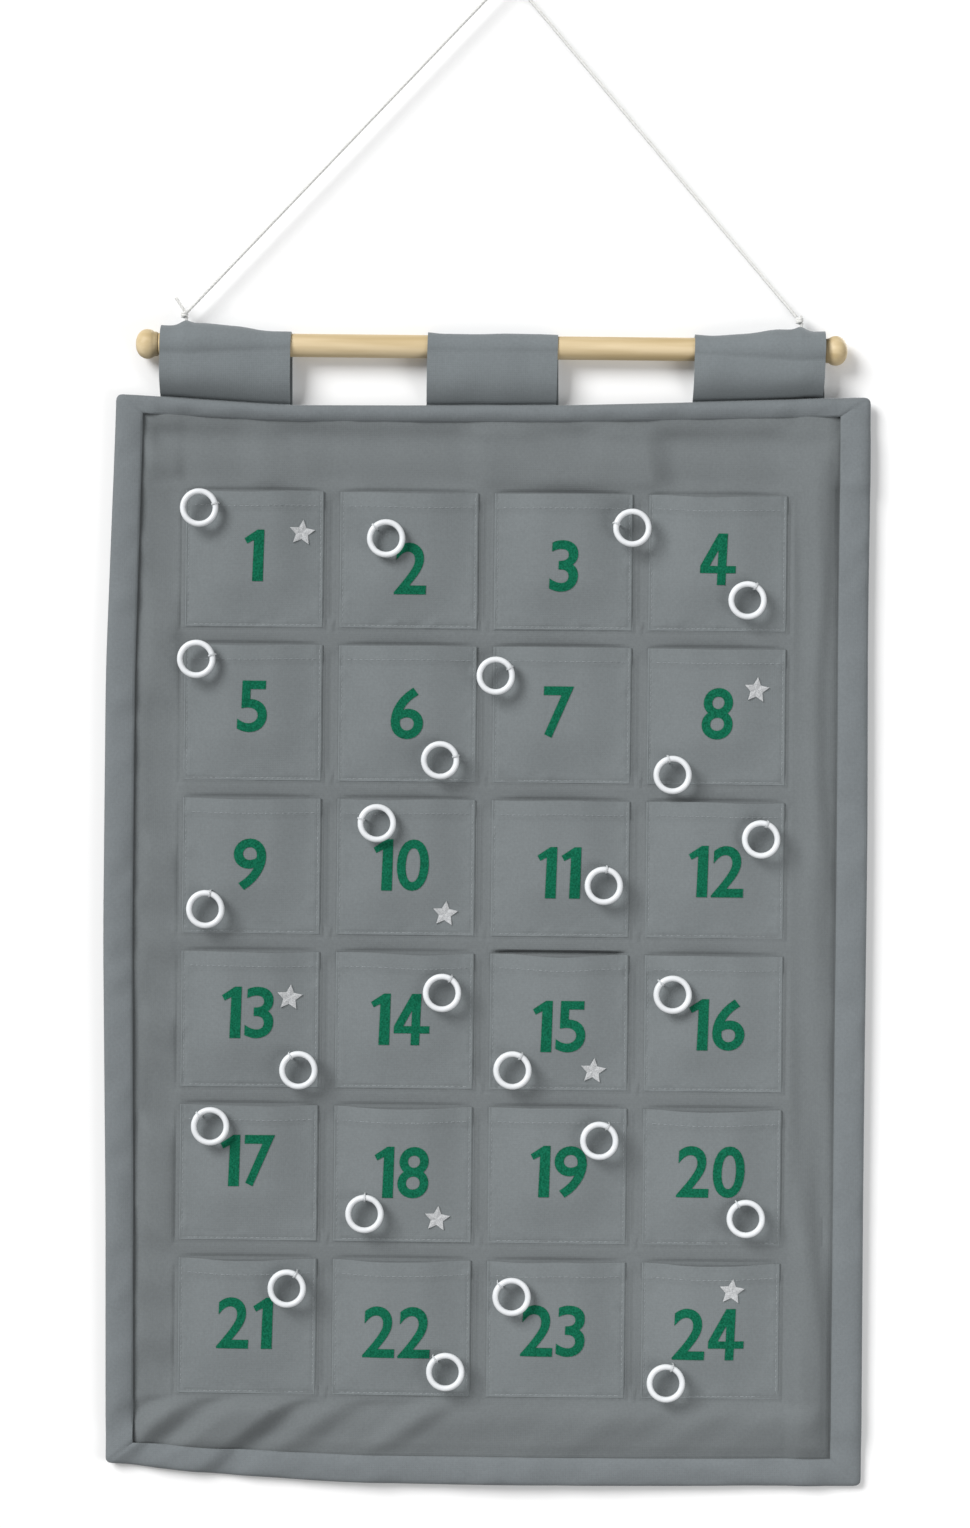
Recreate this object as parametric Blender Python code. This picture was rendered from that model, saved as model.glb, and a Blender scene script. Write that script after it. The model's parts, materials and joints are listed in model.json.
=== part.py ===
"""An advent calendar of grey cloth, hung on a hook by its cord.

The panel carries 24 pockets, each with a plastic ring that a loop of thread holds on its front.
Three tabs on the panel's top fold over a wooden rod with an end knob on each side.
The cord is tied round the rod beneath the outer tabs and comes out through a slot in each fold.

Lengths are metres. The origin is where the hook bears on the cord, +Z is up and the front faces -Y.
"""

import math

import bmesh
import bpy
from mathutils import Vector

# The whole calendar
CENTRE_X = -0.008
ROD_Z = -0.2193
PANEL_SIDE_MARGIN = 0.04345
PANEL_TOP_MARGIN = 0.05475
PANEL_BOTTOM_MARGIN = 0.04975
PANEL_DROP = 0.0327
PANEL_Y = 0.0021
PANEL_THICKNESS = 0.0016
CLEARANCE = 0.0003

# The cloth's main folds, which grow from nothing at the panel's top
FOLD_HEIGHT = 0.0022
FOLD_WIDTH = 0.480
FOLD_LEAN_SHARE = 0.55
FOLD_START_SHARE = 0.12

# How far the hanging cloth's edges are drawn out of line: pairs of the share along the edge, from the left or
# the top, and the share of the drawn height. The margins round the pockets take it up.
EDGE_DRAW = 0.0090
TOP_EDGE_SHARES = ((0, 0.33), (0.22, -0.33), (0.45, -0.24), (0.60, -0.15), (0.77, 0.13), (1, 0.59))
BOTTOM_EDGE_SHARES = ((0, 1), (0.15, 0.42), (0.30, 0), (1, 0))
LEFT_EDGE_SHARES = ((0, 0), (0.25, 0.36), (0.50, 0.36), (0.75, 0.10), (1, 0))

# The edge binding: a folded strip round the panel
BINDING_THICKNESS = 0.0009
BINDING_SLACK = 0.0014
BINDING_SIDE = 0.0165
BINDING_TOP = 0.0105
BINDING_BOTTOM = 0.0160

# The pockets, sewn on along their sides and bottom
POCKET_ROWS = 6
POCKET_COLUMNS = 4
POCKET_WIDTH = 0.0850
POCKET_HEIGHT = 0.0820
POCKET_GAP_X = 0.0077
POCKET_GAP_Z = 0.0101
POCKET_GRID_X = -0.0020
POCKET_THICKNESS = 0.0012
POCKET_SEAM = 0.0040
POCKET_RAMP = 0.0080
POCKET_DEPTH = 0.0052
POCKET_MOUTH_DEPTH = 0.0066
SEWN_GAP = 0.00035
HEM_HEIGHT = 0.0100
HEM_STEP = 0.0008

# The rings and the threads that hold them. The hours say where on its ring each thread sits, as on a clock.
RING_DIAMETER = 0.0230
RING_SECTION = 0.0035
RING_GAP = 0.0004
THREAD_DIAMETER = 0.0009
THREAD_GAP = 0.00035
THREAD_SINK = 0.0006
RING_CENTRE_SHARES = (
    (0.115, 0.865), (0.34, 0.655), (0.98, 0.75), (0.705, 0.23),
    (0.105, 0.885), (0.735, 0.165), (0.03, 0.785), (0.19, 0.075),
    (0.185, 0.185), (0.295, 0.825), (0.805, 0.385), (0.815, 0.735),
    (0.85, 0.14), (0.765, 0.715), (0.175, 0.155), (0.205, 0.72),
    (0.235, 0.85), (0.235, 0.22), (0.79, 0.775), (0.735, 0.215),
    (0.785, 0.795), (0.815, 0.20), (0.185, 0.755), (0.185, 0.135),
)
RING_THREAD_HOURS = (
    2.5, 10.5, 9.5, 1.0,
    2.5, 2.5, 2.0, 11.5,
    12.5, 9.5, 12.3, 12.7,
    11.0, 1.0, 1.0, 10.5,
    10.5, 12.0, 1.0, 11.0,
    1.0, 10.7, 10.5, 12.7,
)
HOURS_A_TURN = 12

# The rod and its end knobs
ROD_DIAMETER = 0.0140
ROD_END_INSET = 0.0250
ROD_CHAMFER = 0.0008
TENON_DIAMETER = 0.0080
TENON_LENGTH = 0.0085
KNOB_DIAMETER = 0.0178
KNOB_LENGTH = 0.0135
KNOB_NECK_SHARE = 0.80
TIP_RADIUS = 0.0004

# The cord, its loops round the rod and its knots
CORD_DIAMETER = 0.0022
CORD_END_INSET = 0.0155
HOOK_RADIUS = 0.0050
STALK_DIAMETER = 0.0026
KNOT_RISE = 0.0178
KNOT_DIAMETER = 0.0052
TAIL_LENGTH = 0.0115
TAIL_LEAN_SHARE = 0.65

# The tabs. The outer two swell over the cord's loops and have a slot for the cord there.
TAB_WIDTH = 0.0780
TAB_END_INSET = 0.0010
TAB_THICKNESS = 0.0013
TAB_OVERLAP = 0.0140
TAB_RISE = 0.0060
TAB_SWELL = 0.0045
OUTER_SWELL_SHARE = 0.7
SLOT_WIDTH = 0.0050
SLOT_LENGTH = 0.0185

# How finely the shapes are cut
PANEL_COLUMNS = 12
PANEL_ROWS = 18
BINDING_COLUMNS = 9
BINDING_ROWS = 13
RING_STEPS = 16
RING_SIDES = 6
FOOTPRINT_STEPS = 24
THREAD_STEPS = 4
THREAD_SIDES = 5
TURNED_SIDES = 20
CORD_SIDES = 8
STALK_SIDES = 7
LOOP_STEPS = 16
ARC_STEPS = 10
DOME_STEPS = 5
APEX_STEPS = 6

# Colours and finishes
CLOTH_COLOUR = (0.20, 0.22, 0.23, 1)
BINDING_COLOUR = (0.18, 0.20, 0.21, 1)
PLASTIC_COLOUR = (0.78, 0.80, 0.83, 1)
PINE_COLOUR = (0.72, 0.56, 0.27, 1)
CORD_COLOUR = (0.78, 0.77, 0.74, 1)
CLOTH_ROUGHNESS = 0.9
PLASTIC_ROUGHNESS = 0.3
PINE_ROUGHNESS = 0.6

POCKET_PITCH_X = POCKET_WIDTH + POCKET_GAP_X
POCKET_PITCH_Z = POCKET_HEIGHT + POCKET_GAP_Z
GRID_WIDTH = POCKET_COLUMNS * POCKET_PITCH_X - POCKET_GAP_X
GRID_HEIGHT = POCKET_ROWS * POCKET_PITCH_Z - POCKET_GAP_Z
PANEL_WIDTH = GRID_WIDTH + 2 * PANEL_SIDE_MARGIN
PANEL_HEIGHT = PANEL_TOP_MARGIN + GRID_HEIGHT + PANEL_BOTTOM_MARGIN
PANEL_TOP = ROD_Z - PANEL_DROP
PANEL_BOTTOM = PANEL_TOP - PANEL_HEIGHT
GRID_MIDDLE_Z = PANEL_TOP - PANEL_TOP_MARGIN - GRID_HEIGHT / 2
ROD_LENGTH = PANEL_WIDTH - 2 * ROD_END_INSET
CORD_SPREAD = ROD_LENGTH / 2 - CORD_END_INSET
TAB_SPREAD = ROD_LENGTH / 2 - TAB_END_INSET - TAB_WIDTH / 2
BINDING_INSIDE = PANEL_THICKNESS / 2 + CLEARANCE
BINDING_OUTSIDE = BINDING_INSIDE + BINDING_THICKNESS
ROD_AXIS = Vector((CENTRE_X, 0, ROD_Z))
ACROSS = Vector((1, 0, 0))
FORWARD = Vector((0, -1, 0))
UP = Vector((0, 0, 1))


def between(start, end, count):
    """Evenly spaced values from start to end, both kept."""
    return [start + (end - start) * i / count for i in range(count + 1)]


def ramp(value, start, end):
    """0 up to start, 1 from end on, and straight between them."""
    return min(1, max(0, (value - start) / (end - start)))


def tangent_point(centre, radius, point, turn):
    """The angle on a circle at which a line from point touches it; turn is 1 or -1 for the side."""
    reach = Vector(point) - Vector(centre)
    return math.atan2(reach[1], reach[0]) + turn * math.acos(radius / reach.length)


# Meshes


def new_collection(name):
    collection = bpy.data.collections.new(name)
    bpy.context.scene.collection.children.link(collection)
    return collection


def shell(first, second):
    """Points and faces of the solid between two grids of points that have the same rows and columns."""
    rows = len(first)
    columns = len(first[0])
    points = [point for grid in (first, second) for row in grid for point in row]

    def index(layer, row, column):
        return (layer * rows + row) * columns + column

    faces = []
    for layer in (0, 1):
        for row in range(rows - 1):
            for column in range(columns - 1):
                corners = ((row, column), (row, column + 1), (row + 1, column + 1), (row + 1, column))
                faces.append([index(layer, *corner) for corner in corners])
    border = [(0, column) for column in range(columns - 1)]
    border += [(row, columns - 1) for row in range(rows - 1)]
    border += [(rows - 1, column) for column in range(columns - 1, 0, -1)]
    border += [(row, 0) for row in range(rows - 1, 0, -1)]
    for here, there in zip(border, border[1:] + border[:1]):
        faces.append([index(0, *here), index(0, *there), index(1, *there), index(1, *here)])
    return points, faces


def skin(rings, closed):
    """Points and faces of the solid whose surface passes through rings of points, in a loop if closed."""
    count = len(rings[0])
    points = [point for ring in rings for point in ring]
    faces = []
    for here in range(len(rings) if closed else len(rings) - 1):
        there = (here + 1) % len(rings)
        for i in range(count):
            j = (i + 1) % count
            faces.append([here * count + i, here * count + j, there * count + j, there * count + i])
    if not closed:
        faces.append(list(range(count)))
        faces.append([(len(rings) - 1) * count + i for i in range(count)])
    return points, faces


def circle(centre, first, second, radius, sides):
    turns = [math.tau * i / sides for i in range(sides)]
    return [centre + (first * math.cos(turn) + second * math.sin(turn)) * radius for turn in turns]


def tube(path, normal, radius, sides, closed=False):
    """A round bar along a path that lies in one plane, whose normal is given."""
    rings = []
    last = len(path) - 1
    for i, point in enumerate(path):
        before = path[i - 1] if closed or i else point
        after = path[0 if closed and i == last else min(i + 1, last)]
        along = (after - before).normalized()
        rings.append(circle(point, normal, along.cross(normal), radius, sides))
    return skin(rings, closed)


def turned(profile, start, axis, sides=TURNED_SIDES):
    """A turned solid: profile is pairs of the distance along the axis and the radius there."""
    side = axis.orthogonal().normalized()
    other = axis.cross(side)
    rings = [circle(start + axis * along, side, other, radius, sides) for along, radius in profile]
    return skin(rings, False)


def principled(name, colour, roughness):
    material = bpy.data.materials.new(name)
    material.use_nodes = True
    shader = material.node_tree.nodes["Principled BSDF"]
    shader.inputs["Base Color"].default_value = colour
    shader.inputs["Roughness"].default_value = roughness
    return material


def add(name, solid, collection, origin, parent=None, look=None, smooth=False):
    """Adds a solid, given in the calendar's own places, as an object whose origin is where it turns."""
    points, faces = solid
    mesh = bpy.data.meshes.new(name)
    mesh.from_pydata([point - origin for point in points], [], faces)
    shape = bmesh.new()
    shape.from_mesh(mesh)
    bmesh.ops.recalc_face_normals(shape, faces=shape.faces)
    shape.to_mesh(mesh)
    shape.free()
    mesh.polygons.foreach_set("use_smooth", [smooth] * len(mesh.polygons))
    obj = bpy.data.objects.new(name, mesh)
    obj.location = origin
    if parent:
        obj.parent = parent
        obj.location = origin - parent.location
    if look:
        mesh.materials.append(principled(name + "_material", *look))
    collection.objects.link(obj)
    return obj


def combine(obj, other, operation):
    """Joins another object to this one, or cuts it away, and keeps the other out of the render."""
    other.hide_render = True
    other.display_type = "WIRE"
    modifier = obj.modifiers.new(other.name, "BOOLEAN")
    modifier.object = other
    modifier.operation = operation
    modifier.solver = "EXACT"


# The cloth's shape


def cloth_y(x, z):
    """The panel's middle plane: flat at the top, with folds that lean and grow towards the bottom."""
    down = max(0, (PANEL_TOP - z) / PANEL_HEIGHT)
    wave = (x - CENTRE_X) / FOLD_WIDTH + down * FOLD_LEAN_SHARE + FOLD_START_SHARE
    return PANEL_Y + FOLD_HEIGHT * down * math.sin(math.tau * wave)


def along_edge(shares, share):
    """The height at a share of the way along an edge, straight between the pairs given."""
    for (start, low), (end, high) in zip(shares, shares[1:]):
        if share <= end:
            return low + (high - low) * (share - start) / (end - start)
    return shares[-1][1]


def drawn(x, z):
    """A place on the cloth after its edges are drawn out of line, fading to nothing at the pockets."""
    left = CENTRE_X - PANEL_WIDTH / 2
    across = min(1, max(0, (x - left) / PANEL_WIDTH))
    down = min(1, max(0, (PANEL_TOP - z) / PANEL_HEIGHT))
    near_top = 1 - ramp(PANEL_TOP - z, 0, PANEL_TOP_MARGIN)
    near_bottom = 1 - ramp(z - PANEL_BOTTOM, 0, PANEL_BOTTOM_MARGIN)
    near_left = 1 - ramp(x - left, 0, PANEL_SIDE_MARGIN)
    lift = near_top * along_edge(TOP_EDGE_SHARES, across) + near_bottom * along_edge(BOTTOM_EDGE_SHARES, across)
    return x - EDGE_DRAW * near_left * along_edge(LEFT_EDGE_SHARES, down), z + EDGE_DRAW * lift


def on_cloth(x, z, side):
    """The point of the hanging cloth for a place on it before it was drawn, and how far behind its middle."""
    moved_x, moved_z = drawn(x, z)
    return Vector((moved_x, cloth_y(x, z) + side, moved_z))


def pocket_corner(number):
    """The lower left corner of a pocket, from 1 at the top left to 24 at the bottom right."""
    row, column = divmod(number - 1, POCKET_COLUMNS)
    middle_x = CENTRE_X + POCKET_GRID_X + (column - (POCKET_COLUMNS - 1) / 2) * POCKET_PITCH_X
    middle_z = GRID_MIDDLE_Z - (row - (POCKET_ROWS - 1) / 2) * POCKET_PITCH_Z
    return middle_x - POCKET_WIDTH / 2, middle_z - POCKET_HEIGHT / 2


def pocket_back_y(number, x, z):
    """The side of the pocket's cloth that faces the panel."""
    left, bottom = pocket_corner(number)
    across = min(x - left, left + POCKET_WIDTH - x)
    up = z - bottom
    full = POCKET_DEPTH + (POCKET_MOUTH_DEPTH - POCKET_DEPTH) * up / POCKET_HEIGHT
    sides = ramp(across, POCKET_SEAM, POCKET_SEAM + POCKET_RAMP)
    floor = ramp(up, POCKET_SEAM, POCKET_SEAM + POCKET_RAMP)
    return cloth_y(x, z) - PANEL_THICKNESS / 2 - SEWN_GAP - full * sides * floor


def pocket_front_y(number, x, z):
    """The side that shows, which steps out at the hem round the mouth."""
    up = z - pocket_corner(number)[1]
    hem_bottom = POCKET_HEIGHT - HEM_HEIGHT
    hem = HEM_STEP * ramp(up, hem_bottom - HEM_STEP, hem_bottom)
    return pocket_back_y(number, x, z) - POCKET_THICKNESS - hem


def front_y(x, z):
    """The foremost cloth at a place, be it a pocket or the bare panel."""
    for number in range(1, POCKET_ROWS * POCKET_COLUMNS + 1):
        left, bottom = pocket_corner(number)
        if 0 <= x - left <= POCKET_WIDTH and 0 <= z - bottom <= POCKET_HEIGHT:
            return pocket_front_y(number, x, z)
    return cloth_y(x, z) - PANEL_THICKNESS / 2


# The rings' places


def ring_place(number):
    """The ring's centre, the unit vector from it to its thread, and the axis that it turns on."""
    left, bottom = pocket_corner(number)
    across, up = RING_CENTRE_SHARES[number - 1]
    x = left + across * POCKET_WIDTH
    z = bottom + up * POCKET_HEIGHT
    outer = RING_DIAMETER / 2
    beneath = []
    for radius in (outer, outer - RING_SECTION / 2, outer - RING_SECTION):
        for point in circle(Vector((x, 0, z)), ACROSS, UP, radius, FOOTPRINT_STEPS):
            beneath.append(front_y(point.x, point.z))
    turn = math.tau * RING_THREAD_HOURS[number - 1] / HOURS_A_TURN
    centre = Vector((x, min(beneath) - RING_GAP - RING_SECTION / 2, z))
    to_thread = Vector((math.sin(turn), 0, math.cos(turn)))
    axis = Vector((-math.cos(turn), 0, math.sin(turn)))
    return centre, to_thread, axis


def ring_pivot(number):
    centre, to_thread, _ = ring_place(number)
    return centre + to_thread * (RING_DIAMETER - RING_SECTION) / 2


# Cloth pieces


def make_panel(cloth, collection):
    inset = BINDING_THICKNESS + BINDING_SLACK
    half = PANEL_WIDTH / 2 - inset
    columns = between(CENTRE_X - half, CENTRE_X + half, PANEL_COLUMNS)
    rows = between(PANEL_TOP - inset, PANEL_BOTTOM + inset, PANEL_ROWS)
    faces = []
    for side in (-PANEL_THICKNESS / 2, PANEL_THICKNESS / 2):
        faces.append([[on_cloth(x, z, side) for x in columns] for z in rows])
    look = (CLOTH_COLOUR, CLOTH_ROUGHNESS)
    add("panel", shell(*faces), collection, ROD_AXIS, cloth, look)


def frame_corners(inset_side, inset_top, inset_bottom):
    half = PANEL_WIDTH / 2 - inset_side
    left, right = CENTRE_X - half, CENTRE_X + half
    top, bottom = PANEL_TOP - inset_top, PANEL_BOTTOM + inset_bottom
    return [(left, top), (right, top), (right, bottom), (left, bottom)]


def make_binding(cloth, collection):
    """A strip folded round the panel's edge, mitred at the corners. Each line of its section is a rectangle."""
    wall = (BINDING_THICKNESS,) * 3
    flap = (BINDING_SIDE, BINDING_TOP, BINDING_BOTTOM)
    edge = (0, 0, 0)
    section = [(edge, -BINDING_OUTSIDE), (flap, -BINDING_OUTSIDE)]
    section += [(flap, -BINDING_INSIDE), (wall, -BINDING_INSIDE)]
    section += [(inset, -y) for inset, y in reversed(section)]
    lines = []
    for inset, y in section:
        corners = frame_corners(*inset)
        line = []
        for side, (here, there) in enumerate(zip(corners, corners[1:] + corners[:1])):
            count = BINDING_ROWS if side % 2 else BINDING_COLUMNS
            for x, z in list(zip(between(here[0], there[0], count), between(here[1], there[1], count)))[:-1]:
                line.append(on_cloth(x, z, y))
        lines.append(line)
    look = (BINDING_COLOUR, CLOTH_ROUGHNESS)
    add("edge_binding", skin(list(zip(*lines)), True), collection, ROD_AXIS, cloth, look)


def tab_section(inside, swell):
    """The tab's middle line as seen from its end: y, z and the outward normal's y and z at each point."""
    radius = inside + swell + TAB_THICKNESS / 2
    front = PANEL_Y + BINDING_OUTSIDE + CLEARANCE + TAB_THICKNESS / 2
    back = front + TAB_THICKNESS + CLEARANCE
    last = -PANEL_DROP - TAB_OVERLAP
    meet = -PANEL_DROP + TAB_RISE
    first_turn = tangent_point((0, 0), radius, (front, meet), -1)
    last_turn = tangent_point((0, 0), radius, (back, meet), 1)
    line = [(front, last, -1, 0), (front, meet, math.cos(first_turn), math.sin(first_turn))]
    for turn in between(first_turn, last_turn - math.tau, ARC_STEPS):
        line.append((radius * math.cos(turn), radius * math.sin(turn), math.cos(turn), math.sin(turn)))
    line += [(back, meet, math.cos(last_turn), math.sin(last_turn)), (back, last, 1, 0)]
    return line


def make_tab(name, middle, loop_x, cloth, collection, cutters):
    """A strip folded over the rod, its two ends together behind the panel's top binding."""
    inside = ROD_DIAMETER / 2 + CLEARANCE
    columns = {middle - TAB_WIDTH / 2: 0, middle: 0, middle + TAB_WIDTH / 2: 0}
    if loop_x is not None:
        outward = math.copysign(1, loop_x - middle)
        columns = {middle - outward * TAB_WIDTH / 2: 0}
        columns[middle + outward * TAB_WIDTH / 2] = TAB_SWELL * OUTER_SWELL_SHARE
        for side in (-1, 1):
            columns[loop_x + side * CORD_DIAMETER] = TAB_SWELL
    faces = [[], []]
    for x in sorted(columns):
        for face, side in zip(faces, (-TAB_THICKNESS / 2, TAB_THICKNESS / 2)):
            line = tab_section(inside, columns[x])
            face.append([Vector((x, y + side * across, ROD_Z + z + side * up)) for y, z, across, up in line])
    tab = add(name, shell(*faces), collection, ROD_AXIS, cloth, (CLOTH_COLOUR, CLOTH_ROUGHNESS))
    if loop_x is None:
        return
    half = SLOT_WIDTH / 2
    edges = [(loop_x - half, -SLOT_LENGTH / 2), (loop_x + half, -SLOT_LENGTH / 2)]
    edges += [(loop_x + half, SLOT_LENGTH / 2), (loop_x - half, SLOT_LENGTH / 2)]
    heights = (ROD_Z + ROD_DIAMETER / 2 - CORD_DIAMETER, ROD_Z + ROD_DIAMETER)
    block = skin([[Vector((x, y, z)) for x, y in edges] for z in heights], False)
    cutter = add(name + "_slot", block, cutters, ROD_AXIS, cloth)
    combine(tab, cutter, "DIFFERENCE")


def make_pocket(number, cloth, collection, cutters):
    left, bottom = pocket_corner(number)
    rise = POCKET_SEAM + POCKET_RAMP
    half_steps = (0, POCKET_SEAM, rise)
    steps = (*half_steps, POCKET_WIDTH / 2, *(POCKET_WIDTH - step for step in reversed(half_steps)))
    hem_bottom = POCKET_HEIGHT - HEM_HEIGHT
    heights = (0, POCKET_SEAM, rise, hem_bottom - HEM_STEP, hem_bottom, POCKET_HEIGHT)
    faces = []
    for surface in (pocket_front_y, pocket_back_y):
        rows = []
        for z in (bottom + height for height in heights):
            rows.append([Vector((x, surface(number, x, z), z)) for x in (left + step for step in steps)])
        faces.append(rows)
    name = f"pocket_{number:02d}"
    pocket = add(name, shell(*faces), collection, ROD_AXIS, cloth, (CLOTH_COLOUR, CLOTH_ROUGHNESS))
    _, to_thread, axis = ring_place(number)
    pivot = ring_pivot(number)
    reach = RING_SECTION / 2 + THREAD_GAP + THREAD_DIAMETER / 2
    path = []
    for turn in between(0, math.pi, THREAD_STEPS):
        path.append(pivot + (to_thread * math.cos(turn) + FORWARD * math.sin(turn)) * reach)
    feet = []
    for top in (path[0], path[-1]):
        feet.append(Vector((top.x, pocket_front_y(number, top.x, top.z) + THREAD_SINK, top.z)))
    path = [feet[0], *path, feet[1]]
    solid = tube(path, axis, THREAD_DIAMETER / 2, THREAD_SIDES)
    thread = add(name + "_thread", solid, cutters, ROD_AXIS, cloth)
    combine(pocket, thread, "UNION")


def make_ring(number, cloth, collection):
    centre, to_thread, axis = ring_place(number)
    half_step = math.pi / RING_STEPS
    radius = (RING_DIAMETER - RING_SECTION) / 2 / math.cos(half_step)
    path = []
    for i in range(RING_STEPS):
        turn = half_step * (2 * i + 1)
        path.append(centre + (to_thread * math.cos(turn) + axis * math.sin(turn)) * radius)
    solid = tube(path, FORWARD, RING_SECTION / 2, RING_SIDES, True)
    look = (PLASTIC_COLOUR, PLASTIC_ROUGHNESS)
    add(f"ring_{number:02d}", solid, collection, ring_pivot(number), cloth, look, True)


# The rod and the cord


def make_rod(collection):
    half = ROD_LENGTH / 2 - CLEARANCE
    radius = ROD_DIAMETER / 2
    tenon = TENON_DIAMETER / 2
    profile = [(-half - TENON_LENGTH, tenon), (-half, tenon)]
    profile += [(-half, radius - ROD_CHAMFER), (-half + ROD_CHAMFER, radius)]
    profile += [(-along, wide) for along, wide in reversed(profile)]
    look = (PINE_COLOUR, PINE_ROUGHNESS)
    add("rod", turned(profile, ROD_AXIS, ACROSS), collection, ROD_AXIS, None, look, True)


def make_knob(name, side, collection):
    """A turned knob with a socket for the rod's tenon."""
    socket = TENON_DIAMETER / 2 + CLEARANCE
    depth = TENON_LENGTH + CLEARANCE
    widest = KNOB_DIAMETER / 2
    dome = KNOB_LENGTH / 2
    profile = [(depth, TIP_RADIUS), (depth, socket), (0, socket), (0, widest * KNOB_NECK_SHARE)]
    for turn in between(0, math.pi / 2, DOME_STEPS):
        along = KNOB_LENGTH - dome + dome * math.sin(turn)
        profile.append((along, max(TIP_RADIUS, widest * math.cos(turn))))
    start = ROD_AXIS + ACROSS * side * ROD_LENGTH / 2
    solid = turned(profile, start, ACROSS * side)
    add(name, solid, collection, start, None, (PINE_COLOUR, PINE_ROUGHNESS), True)


def knot_centre(side):
    return ROD_AXIS + ACROSS * side * CORD_SPREAD + UP * KNOT_RISE


def make_knot(name, side, collection, cutters):
    """The cord's end: a loop round the rod, a stalk up through the tab's slot, the knot and its short tail."""
    centre = knot_centre(side)
    loop_centre = centre - UP * KNOT_RISE
    loop_radius = ROD_DIAMETER / 2 + CLEARANCE + CORD_DIAMETER / 2
    path = circle(loop_centre, FORWARD, UP, loop_radius, LOOP_STEPS)
    look = (CORD_COLOUR, CLOTH_ROUGHNESS)
    loop = tube(path, ACROSS, CORD_DIAMETER / 2, CORD_SIDES, True)
    knot = add(name, loop, collection, centre, None, look, True)
    stalk = tube([loop_centre + UP * loop_radius, centre], ACROSS, STALK_DIAMETER / 2, STALK_SIDES)
    radius = KNOT_DIAMETER / 2
    profile = []
    for turn in between(-math.pi / 2, math.pi / 2, DOME_STEPS):
        profile.append((radius * math.sin(turn), max(TIP_RADIUS, radius * math.cos(turn))))
    ball = turned(profile, centre, UP, LOOP_STEPS)
    tail_way = (UP - ACROSS * TAIL_LEAN_SHARE).normalized()
    tail = tube([centre, centre + tail_way * TAIL_LENGTH], FORWARD, CORD_DIAMETER / 2, CORD_SIDES)
    pieces = {"stalk": stalk, "ball": ball}
    if side < 0:
        pieces["tail"] = tail
    for piece, solid in pieces.items():
        combine(knot, add(f"{name}_{piece}", solid, cutters, centre), "UNION")


def make_cord(collection):
    """Two straight strands from the knots, joined by the bend that lies over the hook."""
    radius = HOOK_RADIUS + CORD_DIAMETER / 2
    bend = -UP * HOOK_RADIUS
    ends = []
    turns = []
    for side in (-1, 1):
        knot = knot_centre(side)
        turn = tangent_point((bend.x, bend.z), radius, (knot.x, knot.z), side)
        touch = bend + (ACROSS * math.cos(turn) + UP * math.sin(turn)) * radius
        ends.append(knot + (touch - knot).normalized() * (KNOT_DIAMETER / 2 + CLEARANCE))
        turns.append(turn % math.tau)
    path = [ends[0]]
    for turn in between(turns[0], turns[1], APEX_STEPS):
        path.append(bend + (ACROSS * math.cos(turn) + UP * math.sin(turn)) * radius)
    path.append(ends[1])
    solid = tube(path, FORWARD, CORD_DIAMETER / 2, CORD_SIDES)
    add("hanging_cord", solid, collection, Vector(), None, (CORD_COLOUR, CLOTH_ROUGHNESS), True)


def main():
    for obj in list(bpy.data.objects):
        bpy.data.objects.remove(obj)
    calendar = new_collection("advent_calendar")
    cutters = new_collection("cutters")
    cloth = bpy.data.objects.new("cloth_pivot", None)
    cloth.location = ROD_AXIS
    calendar.objects.link(cloth)
    make_panel(cloth, calendar)
    make_binding(cloth, calendar)
    tabs = {"tab_left": -1, "tab_middle": 0, "tab_right": 1}
    for name, side in tabs.items():
        loop_x = CENTRE_X + side * CORD_SPREAD if side else None
        make_tab(name, CENTRE_X + side * TAB_SPREAD, loop_x, cloth, calendar, cutters)
    for number in range(1, POCKET_ROWS * POCKET_COLUMNS + 1):
        make_pocket(number, cloth, calendar, cutters)
        make_ring(number, cloth, calendar)
    make_rod(calendar)
    make_cord(calendar)
    for side_name, side in (("left", -1), ("right", 1)):
        make_knob("end_knob_" + side_name, side, calendar)
        make_knot("cord_knot_" + side_name, side, calendar, cutters)


if __name__ == "__main__":
    main()
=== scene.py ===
"""A cloth advent calendar hanging in front of a white wall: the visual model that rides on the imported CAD.

Lengths are metres, in the CAD's frame: the origin is where the hook bears on the cord. The front faces -Y.
"""

import functools
import json
import math

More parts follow.
